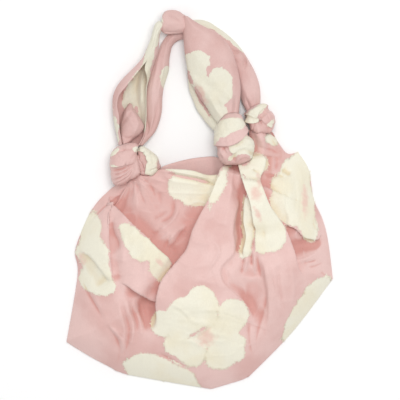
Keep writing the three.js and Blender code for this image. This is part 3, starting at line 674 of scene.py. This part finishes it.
def softened(values, cells):
    """A grid of values averaged over a few cells each way."""
    for axis in (0, 0, 1, 1):
        pad = [(0, 0), (0, 0)]
        pad[axis] = (cells + 1, cells)
        total = np.cumsum(np.pad(values, pad, mode="edge"), axis=axis)
        high = np.take(total, range(2 * cells + 1, total.shape[axis]), axis=axis)
        low = np.take(total, range(0, total.shape[axis] - 2 * cells - 1), axis=axis)
        values = (high - low) / (2 * cells + 1)
    return values


def hollowness(height):
    """1 in the deep of a fold, 0 on open cloth and less than 0 along a ridge."""
    return np.clip(sum((softened(height, cells) - height) / deep for cells, deep in HOLLOW_SCALES), -1, 1)


def wrinkles(x, y):
    """Thin irregular creases, from 0 to 1, upright in some places and level in others."""
    bend = 6 * noise(x / 31, y / 31, 60)
    steep = 1 - np.abs(noise((x + bend) / 15, y / 37, 61))
    level = 1 - np.abs(noise(x / 33, (y + bend) / 17, 62))
    share = smooth(noise(x / 47, y / 47, 63), -0.3, 0.5)
    return steep**7 * share + 0.8 * level**7 * (1 - share)


def front_surface(plan):
    """The front's points, its hollowness, and for each fold the signed distance from it."""
    x, y = plan[..., 0], plan[..., 1]

    def beside(line):
        return np.abs(nearest(line, x, y)[0])

    edge = beside(np.concatenate([left_side.line(), bottom_side.line(), right_side.line()[::-1]]))
    neck = np.minimum(beside(top_left.line()), beside(top_right.line()))
    height = NECK_HEIGHT + (PUFF - NECK_HEIGHT) * (1 - np.exp(-neck / NECK_REACH))
    height = height + (MOUTH_HEIGHT - height) * np.exp(-oval(x, y, *MOUTH_REACH, 0))
    for *place, lift in SWELLS:
        height = height + lift * np.exp(-oval(x, y, *place))
    lift, shift, away = relief(FOLDS, CREASES, x, y)
    height = height + lift
    for index, (cx, cy, middle, half, reach, count, lift) in enumerate(FANS):
        angle = np.degrees(np.arctan2(y - cy, x - cx))
        turned = (angle - middle + 180) % 360 - 180
        r = np.hypot(x - cx, y - cy)
        window = smooth(half - np.abs(turned), 0, FAN_FADE) * np.exp(-np.maximum(r - FAN_START, 0) / reach)
        bend = 0.6 * noise(r / 30, angle / 40, 5 + index)
        height = height + lift * window * pleats(np.radians(angle) * count / 2 + bend, 20 + index)
    rough = CRUMPLE * waves(CRUMPLE_WAVES, x, y) + WRINKLE * wrinkles(x, y)
    height = height + rough * smooth(edge, 0, ROUGH_FROM_EDGE)
    hollow = hollowness(height) * smooth(edge, *HOLLOW_FROM_EDGE)
    height = EDGE_HEIGHT + (height - EDGE_HEIGHT) * (1 - np.exp(-edge / EDGE_REACH))
    free = np.clip(beside(Side(FREE_NECK).line()) / NECK_ROUND, 0, 1)
    thin = NECK_THIN + (1 - NECK_THIN) * np.sqrt(1 - (1 - free) ** 2)
    height = NECK_EDGE + (height - NECK_EDGE) * thin
    shift *= smooth(edge, 0, SHIFT_FROM_EDGE)[..., None]
    return np.concatenate([plan + shift, height[..., None]], -1), hollow, away


def joined(a, b, blend):
    """The smaller of two distances, with a soft corner where they meet."""
    share = np.clip(0.5 + 0.5 * (b - a) / blend, 0, 1)
    return b + (a - b) * share - blend * share * (1 - share)


def patch_distance(petals, x, y):
    """Roughly how many millimetres a point is outside the cream patches, negative inside."""
    out = np.full(np.shape(x), FAR)
    for cx, cy, along, across, turn, *pink in petals:
        distance = (np.sqrt(oval(x, y, cx, cy, along, across, turn)) - 1) * min(along, across)
        out = -joined(-out, distance, PINK_BLEND) if pink else joined(out, distance, CREAM_BLEND)
    return out


def wavy(distance, x, y):
    """The patches' edges are uneven."""
    return np.clip(distance + waves(PATCH_WAVES, x, y), -OPEN, OPEN)


def heart_amount(x, y):
    """How much the hearts of the flowers are blushed."""
    out = np.zeros(np.shape(x))
    for heart in HEARTS:
        out = np.maximum(out, BLUSHED - BLUSHED * smooth(np.sqrt(oval(x, y, *heart)), *HEART_FADE))
    return out


def grid_faces(rows, columns):
    """Faces of a grid of points stored row by row; they face up where rows run down the page."""
    i = np.arange((rows - 1) * columns).reshape(rows - 1, columns)[:, :-1].ravel()
    return np.stack([i, i + columns, i + columns + 1, i + 1], 1).tolist()


def strip_faces(rows):
    """Faces between each row of point numbers and the next."""
    return [[a[i], b[i], b[i + 1], a[i + 1]] for a, b in zip(rows, rows[1:]) for i in range(len(a) - 1)]


def make_mesh(name, points, faces, values=None):
    """A smooth mesh from points in millimetres. values holds a number for each point."""
    mesh = bpy.data.meshes.new(name)
    mesh.from_pydata((np.asarray(points) * MM).tolist(), [], faces)
    mesh.polygons.foreach_set("use_smooth", [True] * len(mesh.polygons))
    for key, value in (values or {}).items():
        attribute = mesh.attributes.new(key, "FLOAT", "POINT")
        attribute.data.foreach_set("value", np.asarray(value, np.float32).ravel())
    mesh.update()
    return mesh


def link(name, data):
    """A new object in the scene."""
    made = bpy.data.objects.new(name, data)
    bpy.context.scene.collection.objects.link(made)
    return made


def make_piece(name, mesh, material):
    mesh.materials.append(material)
    return link(name, mesh)


def point_normals(points, faces):
    mesh = make_mesh("scratch", points, faces)
    normals = np.zeros(len(points) * 3, np.float32)
    mesh.vertex_normals.foreach_get("vector", normals)
    bpy.data.meshes.remove(mesh)
    return normals.reshape(-1, 3)


def thicken(points, faces, values, knots):
    """A closed shell clear of the knots: the sheet, a second sheet behind it and walls along its
    open edges."""
    points = keep_clear(np.array(points, float), knots)
    count = len(points)
    inner = points - CLOTH * point_normals(points, faces)
    inner[:, 2] = np.maximum(inner[:, 2], np.minimum(points[:, 2], LOWEST_INSIDE))
    sides = {(a, b) for face in faces for a, b in zip(face, face[1:] + face[:1])}
    walls = [[b, a, a + count, b + count] for a, b in sides if (b, a) not in sides]
    behind = [[i + count for i in reversed(face)] for face in faces]
    faces = faces + behind + sorted(walls)
    both = {key: np.concatenate([np.ravel(value)] * 2) for key, value in values.items()}
    return ease_out(np.concatenate([points, keep_clear(inner, knots)]), faces, knots), faces, both


def keep_clear(points, knots):
    """Points inside a knot are moved out of it, away from its middle."""
    for middle, size, tree in knots:
        out = points - middle
        distance = np.linalg.norm(out, axis=1)
        for i in np.flatnonzero(distance < size):
            direction = out[i] / distance[i]
            reach = tree.ray_cast(middle, direction)[3]
            if reach is not None and distance[i] < reach + CLEAR:
                points[i] = middle + direction * (reach + CLEAR)
    return points


def ease_out(points, faces, knots):
    """Corners of faces that still cut a knot are moved further out, a little at a time."""
    for middle, size, tree in knots:
        inside = np.linalg.norm(points - middle, axis=1) < size + EASE_REACH
        near = [face for face in faces if inside[face[0]]]
        for _ in range(EASE_ROUNDS if near else 0):
            cut = {a for a, _ in BVHTree.FromPolygons(points.tolist(), near).overlap(tree)}
            corners = sorted({i for a in cut for i in near[a] if inside[i]})
            out = points[corners] - middle
            points[corners] += EASE_STEP * out / np.linalg.norm(out, axis=1, keepdims=True)
    return points


def lie_under(x, y, z, cover):
    """Heights no higher than just under what lies over them."""
    for i in np.ndindex(z.shape):
        hit = cover.ray_cast((x[i], y[i], -5), (0, 0, 1))[0]
        if hit is not None:
            z[i] = min(z[i], max(hit.z - UNDER_GAP, LOWEST))
    return z


# Camera, floor and light


def make_camera():
    data = bpy.data.cameras.new("camera")
    data.sensor_width = SENSOR
    data.lens = SENSOR * (CAMERA_HEIGHT - EDGE_LEVEL) / VIEW_WIDTH
    camera = link("camera", data)
    camera.location = (0, 0, CAMERA_HEIGHT)
    bpy.context.scene.camera = camera


def make_studio():
    scene = bpy.context.scene
    scene.view_settings.view_transform = "Standard"
    scene.world = bpy.data.worlds.new("studio")
    scene.world.use_nodes = True
    background = scene.world.node_tree.nodes["Background"]
    background.inputs["Color"].default_value = SKY
    background.inputs["Strength"].default_value = SKY_STRENGTH
    data = bpy.data.lights.new("key", "AREA")
    data.size, data.energy = LAMP_SIZE, LAMP_POWER
    lamp = link("key", data)
    lamp.location = LAMP_PLACE
    lamp.rotation_euler = (-Vector(LAMP_PLACE)).to_track_quat("-Z", "Y").to_euler()
    corners = [(-1, -1), (1, -1), (1, 1), (-1, 1)]
    floor = make_mesh("floor", [(x * FLOOR_HALF, y * FLOOR_HALF, FLOOR_LEVEL) for x, y in corners],
                      [[0, 1, 2, 3]])
    material = bpy.data.materials.new("floor")
    material.use_nodes = True
    shader = material.node_tree.nodes["Principled BSDF"]
    shader.inputs["Base Color"].default_value = FLOOR_COLOUR
    shader.inputs["Roughness"].default_value = FLOOR_ROUGHNESS
    make_piece("floor", floor, material)


# Materials


class Nodes:
    """Shorthand for building a material's node tree."""

    def __init__(self, material):
        material.use_nodes = True
        self.tree = material.node_tree
        self.shader = self.tree.nodes["Principled BSDF"]

    def set(self, socket, value):
        if isinstance(value, bpy.types.NodeSocket):
            self.tree.links.new(value, socket)
        else:
            socket.default_value = value

    def add(self, kind, values, output=0, **settings):
        """A new node's output. values go to its inputs, by their name or number."""
        node = self.tree.nodes.new("ShaderNode" + kind)
        for key, value in settings.items():
            setattr(node, key, value)
        for key, value in values.items():
            self.set(node.inputs[key], value)
        return node.outputs[output]

    def math(self, operation, a, b):
        return self.add("Math", {0: a, 1: b}, operation=operation)

    def mix(self, factor, a, b, blend="MIX"):
        return self.add("Mix", {0: factor, 6: a, 7: b}, 2, data_type="RGBA", blend_type=blend)

    def ramp(self, value, low, high):
        return self.add("MapRange", {0: value, 1: low, 2: high}, interpolation_type="SMOOTHSTEP")

    def texture(self, scale, stretch=(1, 1, 1), detail=3.0, rough=0.5, kind="FBM"):
        place = self.add("TexCoord", {}, "Object")
        place = self.add("Mapping", {"Vector": place, "Scale": stretch})
        values = {"Vector": place, "Scale": scale, "Detail": detail, "Roughness": rough}
        return self.add("TexNoise", values, "Fac", noise_type=kind)

    def attribute(self, name):
        return self.add("Attribute", {}, "Fac", attribute_name=name)

    def spread(self, value, amount):
        """A texture's value around 0, made larger."""
        return self.math("MULTIPLY", self.math("SUBTRACT", value, 0.5), amount)

    def bump(self, strength, distance, height, **normal):
        return self.add("Bump", {"Strength": strength, "Distance": distance, "Height": height, **normal})


def cloth_material(name, share=1.0):
    """Woven cloth: cream patches with frayed edges on pink, fine crinkles and a soft sheen, with painted
    shade in the hollows of folds and a painted highlight along ridges. share is how light the cloth
    is; below 1 it is painted shade that darkens the whole cloth."""
    material = bpy.data.materials.new(name)
    n = Nodes(material)
    fray = n.spread(n.texture(700, (1, 0.3, 1), 2.0), 3.4)
    cream = n.ramp(n.math("ADD", n.attribute("petal"), fray), 0.45, -0.45)
    pink = n.mix(n.ramp(n.texture(14), 0.35, 0.65), PINK, PINK_PALE_AND_HIGHLIGHT)
    ivory = n.mix(n.ramp(n.texture(20), 0.4, 0.7), CREAM, CREAM_WARM)
    blotch = n.spread(n.texture(140), 1.3)
    ivory = n.mix(n.ramp(n.math("ADD", n.attribute("heart"), blotch), 0.1, 1.1), ivory, BLUSH)
    # Painted shade: in the hollows of folds the pink turns deep pink and the cream deep cream. Painted
    # highlight: along ridges the pink turns paler.
    deep = n.ramp(n.attribute("hollow"), 0.1, 1.05)
    ridge = n.math("MULTIPLY", n.ramp(n.attribute("hollow"), -0.1, -0.6), 0.5)
    pink = n.mix(ridge, n.mix(deep, pink, PINK_PAINTED_SHADE), PINK_PALE_AND_HIGHLIGHT)
    ivory = n.mix(deep, ivory, CREAM_PAINTED_SHADE)
    weave = n.texture(2600, (1, 0.12, 1), 1.0)
    gaps = (*[value * share for value in THREAD_GAPS], 1)
    thread = n.mix(n.ramp(weave, 0.35, 0.7), gaps, (share, share, share, 1))
    creased = n.texture(45, (1, 0.35, 1), 3.0, 0.5, "RIDGED_MULTIFRACTAL")
    normal = n.bump(0.35, 0.0012, n.texture(330, (1, 0.3, 1), 4.0, 0.6))
    normal = n.bump(0.3, 0.002, creased, Normal=normal)
    normal = n.bump(0.25, 0.0003, weave, Normal=normal)
    values = {
        "Base Color": n.mix(1.0, n.mix(cream, pink, ivory), thread, "MULTIPLY"),
        "Normal": n.bump(0.5, 0.0006, cream, Normal=normal),
        "Roughness": 0.55, "Specular IOR Level": 0.3, "Sheen Weight": 0.15, "Sheen Roughness": 0.4,
    }
    for key, value in values.items():
        n.set(n.shader.inputs[key], value)
    return material


# Pouch


def front_pattern(front, away):
    """The patches' distance for each point of the front, each flower on its own part of it."""
    x, y = front[..., 0], front[..., 1]
    in_centre = (away["left flap"] < 0) & (y > -92)
    tongue = (away["tongue right"] > 0) & (away["tongue left"] > 0) & (y > -95)
    drape = (away["tongue right"] < 0) & (y > -90)
    distance = patch_distance(PETALS_FRONT, x, y)

    def with_front(petals):
        return np.minimum(distance, patch_distance(petals, x, y))

    left = np.where(in_centre, patch_distance(PETALS_CENTRE, x, y), with_front(PETALS_LEFT_FLAP))
    right = np.where(tongue, with_front(PETALS_TONGUE), with_front(PETALS_RIGHT_FLAP))
    right = np.where(drape, with_front(PETALS_DRAPE), right)
    return wavy(np.where(away["right flap"] > 0, right, left), x, y)


def make_pouch(material, knots):
    """The front, its rim turned under, the hem rolled in at the mouth, and the back."""
    front, hollow, away = front_surface(plan_grid())
    pattern = front_pattern(front, away)
    front[..., 2] += PETAL_LIFT * smooth(-pattern, -0.8, 0.8)
    points = [front.reshape(-1, 3)]
    heart = heart_amount(front[..., 0], front[..., 1])
    values = {"petal": [pattern.ravel()], "heart": [heart.ravel()], "hollow": [hollow.ravel()]}
    grid = np.arange(front[..., 0].size).reshape(ROWS + 1, COLUMNS + 1)

    def add(more, beside=None):
        """Numbers of new points, plain or with the pattern of the points beside them."""
        first = sum(len(p) for p in points)
        points.append(more)
        for key, parts in values.items():
            parts.append(np.full(len(more), PLAIN[key]) if beside is None else parts[0][beside])
        return list(range(first, first + len(more)))

    rim = np.concatenate([
        grid[0, MOUTH_FROM:0:-1], grid[:-1, 0], grid[-1, :-1], grid[:0:-1, -1], grid[0, :MOUTH_TO - 1:-1],
    ]).tolist()
    outer = points[0][rim]
    ahead = np.gradient(outer[:, :2], axis=0)
    inward = np.stack([-ahead[:, 1], ahead[:, 0]], 1) / np.linalg.norm(ahead, axis=1)[:, None]
    rings = [rim]
    for inset, share in RIM_TURN:
        rings.append(add(np.column_stack([outer[:, :2] + inset * inward, outer[:, 2] * share]), rim))

    mouth = grid[0, MOUTH_TO:MOUTH_FROM - 1:-1].tolist()
    hem = [mouth]
    for drop, back in HEM_TURN:
        hem.append(add(points[0][mouth] + (0, back, -drop), mouth if drop < PATTERN_DROP else None))

    share = np.linspace(1, 0, len(mouth))
    x, y = back_hem.at(share).T
    ends = np.sin(np.pi * share)
    reach = np.maximum(0.15 + 0.85 * ends, BACK_HEM_TUCK * smooth(share, *TUCK_FADE))
    back_rows = []
    for back, lift in BACK_HEM_TURN:
        rise = BACK_HEM_RISE * (1 - (back / BACK_HEM_TURN[-1][0]) ** 3) * smooth(share, *RISE_FADE)
        z = BACK_LEVEL + lift * smooth(ends, 0, 0.5) + rise
        back_rows.append(add(np.stack([x, y - back * reach, z], 1)))
    faces = grid_faces(ROWS + 1, COLUMNS + 1) + strip_faces(rings) + strip_faces(hem)
    faces += strip_faces(back_rows[::-1])[::-1] + [(rings[-1] + back_rows[-1])[::-1]]
    values = {key: np.concatenate(parts) for key, parts in values.items()}
    pouch = make_mesh("pouch_cloth", *thicken(np.concatenate(points), faces, values, knots))
    return make_piece("pouch_cloth", pouch, material), front, pattern


def make_fringe(front, pattern, material, knots):
    """Loose threads along the flowers' frayed edges: tufts a little apart and hairs between them."""
    rng = np.random.default_rng(FRINGE["seed"])
    slopes = np.gradient(pattern, axis=(0, 1))
    down, across = np.gradient(front, axis=(0, 1))
    sizes = [np.linalg.norm(v, axis=-1, keepdims=True) for v in (down, across)]
    outward = slopes[0][..., None] * down / sizes[0]**2 + slopes[1][..., None] * across / sizes[1]**2
    outward /= np.linalg.norm(outward, axis=-1, keepdims=True) + 1e-9
    normal = np.cross(down, across)
    normal /= np.linalg.norm(normal, axis=-1, keepdims=True) + 1e-9
    small = np.maximum(*sizes)[..., 0] < FRINGE["cell"]
    open_cloth = small & (normal[..., 2] > FRINGE["level"])
    edge = np.argwhere(open_cloth & (np.abs(pattern) < FRINGE["reach"]))
    edge = edge[rng.permutation(len(edge))]
    chosen, taken = [], set()
    for i, j in edge:
        cell = tuple(np.round(front[i, j] / FRINGE["apart"]).astype(int))
        if cell not in taken and len(chosen) < FRINGE["tufts"]:
            taken.add(cell)
            chosen.append((i, j))
    points, faces = [], []
    for kind, places in (("tuft", np.array(chosen)), ("hair", edge[:FRINGE["hairs"]])):
        i, j = places.T
        count = len(places)

        def drawn(fact):
            return rng.uniform(*FRINGE[kind][fact], count)[:, None]

        share = rng.uniform(-0.5, 0.5, (count, 1))
        up, out = normal[i, j], outward[i, j]
        side = np.cross(up, out)
        root = front[i, j] - (pattern[i, j][:, None] + FRINGE["inset"]) * out + share * side
        swing = rng.normal(0, FRINGE["swing"], count)[:, None]
        ahead = out * np.cos(swing) + side * np.sin(swing)
        length = drawn("length")
        half = np.cross(up, ahead) * drawn("half_width")
        rise = drawn("rise") * up
        root = root + FRINGE["above"] * up
        middle = root + 0.6 * length * ahead + rise
        tip = root + length * ahead + 0.7 * rise + half * rng.normal(0, 1, count)[:, None]
        first = sum(len(p) for p in points)
        thread = [root - half, root + half, middle + 0.7 * half, middle - 0.7 * half, tip]
        points.append(np.stack(thread, 1).reshape(-1, 3))
        for n in range(first, first + 5 * count, 5):
            faces += [[n, n + 1, n + 2, n + 3], [n + 3, n + 2, n + 4]]
    points = keep_clear(np.concatenate(points), knots)
    values = {"petal": np.full(len(points), FRINGE["petal"])}
    return make_piece("fringe", make_mesh("fringe", points, faces, values), material)


# Handles


def make_band(text, curls, petals, creases, knots, seed, open_up=False, cover=None):
    """Points, faces and values of a band of cloth rolled lengthwise along a table's rows."""
    rows = np.reshape(read_path(text), (-1, 6))
    table = np.column_stack([rows, *[np.broadcast_to(curl, len(rows)) for curl in curls]])
    middle = (table[:, :2] + table[:, 2:4]) / 2
    length = np.linalg.norm(np.diff(middle, axis=0), axis=1).sum()
    steps = np.linspace(0, len(table) - 1, int(length / BAND_SPACING) + 1)
    lx, ly, rx, ry, low, loft, left, right = catmull(table, steps).T[..., None]
    t = np.linspace(-1, 1, BAND_ACROSS + 1)[None]
    along = steps[:, None] / len(table)
    angle = np.radians(np.where(t < 0, left, right)) * t
    across = 0.5 + 0.5 * np.sin(angle)
    ridges = BAND_PLEATS * pleats(angle * 2.5 + along * 7, seed)
    ridges += BAND_ROUGH * noise(angle * 3, along * 30, seed)
    up = loft * (1 + ridges) * np.cos(angle) * (-1 if open_up else 1)
    x = lx + (rx - lx) * across
    y = ly + (ry - ly) * across
    lift = relief({}, creases, x, y)[0] * np.clip(np.cos(angle) * 2, 0, 1)
    base = -loft if open_up else loft * np.cos(np.radians(np.maximum(left, right)))
    z = np.maximum(low + up - base + lift, LOWEST)
    if cover:
        z = lie_under(x, y, z, cover)
    faces = grid_faces(*x.shape)
    if not open_up:
        faces = [face[::-1] for face in faces]
    values = {
        "petal": wavy(patch_distance(petals, x, y), x, y),
        "heart": heart_amount(x, y),
        "hollow": np.clip(BAND_SHADE * hollowness(z), -1, BAND_SHADE),
    }
    return thicken(np.stack([x, y, z], -1).reshape(-1, 3), faces, values, knots)


def make_bands(name, bands, material):
    """One piece of several bands."""
    faces, count = [], 0
    for points, band_faces, _ in bands:
        faces += [[i + count for i in face] for face in band_faces]
        count += len(points)
    points = np.concatenate([band[0] for band in bands])
    values = {key: np.concatenate([band[2][key] for band in bands]) for key in PLAIN}
    return make_piece(name, make_mesh(name, points, faces, values), material)


# Knots


def make_knot(node, facts, material):
    """A wound knot: an uneven ball whose wraps lie over each other, with fine pleats."""
    place, height = np.array(facts["place"], float), facts["middle"]
    outline = read_path(facts["outline"])
    rim = catmull(outline + outline[:3], np.linspace(0, len(outline), KNOT_RIM)) - place
    lon = np.linspace(0, 2 * np.pi, KNOT_AROUND, endpoint=False)
    bearing = np.arctan2(rim[:, 1], rim[:, 0])
    radius = np.interp(lon, bearing, np.hypot(rim[:, 0], rim[:, 1]), period=2 * np.pi)[None]
    full = np.interp(np.degrees(lon), *np.array(facts["full"]).T, period=360)[None]
    lat = np.linspace(0, np.pi, KNOT_DOWN + 1)[1:-1, None]
    out = np.sin(lat) ** full * radius
    up = np.sign(np.cos(lat)) * np.abs(np.cos(lat)) ** full * facts["half"]
    if "lip" in facts:
        bearing, half, amount, low, high = facts["lip"]
        turned = np.abs((np.degrees(lon) - bearing + 180) % 360 - 180)
        beside = 1 - smooth(turned, 0.6 * half, half)
        out = out + amount * beside * smooth(up + height, low, high) * np.sin(lat) ** 0.5
    reach = np.stack([out * np.cos(lon), out * np.sin(lon), up], -1)
    x, y = place[0] + reach[..., 0], place[1] + reach[..., 1]
    lift, shift, away = relief(facts["folds"], facts["creases"], x, y)
    lift += waves(KNOT_WAVES, x, y)
    reach *= (KNOT_CORE + lift / np.linalg.norm(reach, axis=-1))[..., None]
    top = np.clip(np.cos(lat), 0, 1)[..., None]
    reach[..., :2] += shift * (KNOT_SIDE_SHIFT + (1 - KNOT_SIDE_SHIFT) * top)
    middle = np.array([*place, height])
    points = middle + reach
    points[..., 2] = np.maximum(points[..., 2], LOWEST)
    rows, columns = x.shape
    flat = np.concatenate([points.reshape(-1, 3), [points[0].mean(0), points[-1].mean(0)]])
    rings = [[r * columns + c % columns for c in range(columns + 1)] for r in range(rows)]
    faces = strip_faces(rings)
    for c in range(columns):
        faces.append([rows * columns, rings[0][c], rings[0][c + 1]])
        faces.append([rows * columns + 1, rings[-1][c + 1], rings[-1][c]])
    x, y = np.append(x, [place[0]] * 2), np.append(y, [place[1]] * 2)
    distance = patch_distance(facts["petals"], x, y)
    if "under" in facts:
        fold, petals = facts["under"]
        under = np.append(away[fold] < 0, [False, False])
        distance = np.where(under, patch_distance(petals, x, y), distance)
    values = {
        "petal": distance + KNOT_UNEVEN * (wavy(distance, x, y) - distance),
        "heart": heart_amount(x, y),
        "hollow": np.append(hollowness(lift * KNOT_SHADE), [0, 0]),
    }
    piece = make_piece(node + "_cloth", make_mesh(node + "_cloth", flat, faces, values), material)
    size = np.linalg.norm(flat - middle, axis=1).max() + KNOT_MARGIN
    return piece, (middle, size, BVHTree.FromPolygons(flat.tolist(), faces))


make_camera()
make_studio()
pouch_cloth = cloth_material("pouch_cloth")
# The handles and the knots are the same cloth darkened: painted shade.
handle_cloth = cloth_material("handle_cloth", 0.9)
knot_cloth = cloth_material("knot_cloth", 0.94)

pieces, knots = [], []
for node, facts in KNOTS.items():
    piece, knot = make_knot(node, facts, knot_cloth)
    pieces.append((piece, node, "knot_cloth"))
    knots.append(knot)
pouch, front, pattern = make_pouch(pouch_cloth, knots)
fringe = make_fringe(front, pattern, pouch_cloth, knots)
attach(fringe, ROOT)
handle_front = make_bands("handle_front_cloth", [
    make_band(LEAF, LEAF_CURLS, PETALS_FRONT_HANDLE, LEAF_CREASES, knots, 50, open_up=True),
    make_band(FOOT, FOOT_CURLS, [], FOOT_CREASES, knots, 55),
    make_band(CROWN, CROWN_CURLS, PETALS_FRONT_HANDLE, CROWN_CREASES, knots, 51),
    make_band(WIDE, WIDE_CURLS, PETALS_FRONT_HANDLE, WIDE_CREASES, knots, 52),
    make_band(ROLL, ROLL_CURLS, PETALS_FRONT_HANDLE, [], knots, 53),
], handle_cloth)
cover = BVHTree.FromPolygons([v.co / MM for v in handle_front.data.vertices],
                             [p.vertices for p in handle_front.data.polygons])
back_band = make_band(BACK, BACK_CURLS, PETALS_BACK_HANDLE, BACK_CREASES, knots, 54, cover=cover)
handle_back = make_bands("handle_back_cloth", [back_band], handle_cloth)
pieces += [(pouch, "pouch", "pouch_cloth"), (handle_front, "handle_front", "handle_cloth"),
           (handle_back, "handle_back", "handle_cloth")]
for piece, node, slot in pieces:
    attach(piece, ROOT)
    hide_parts(node)
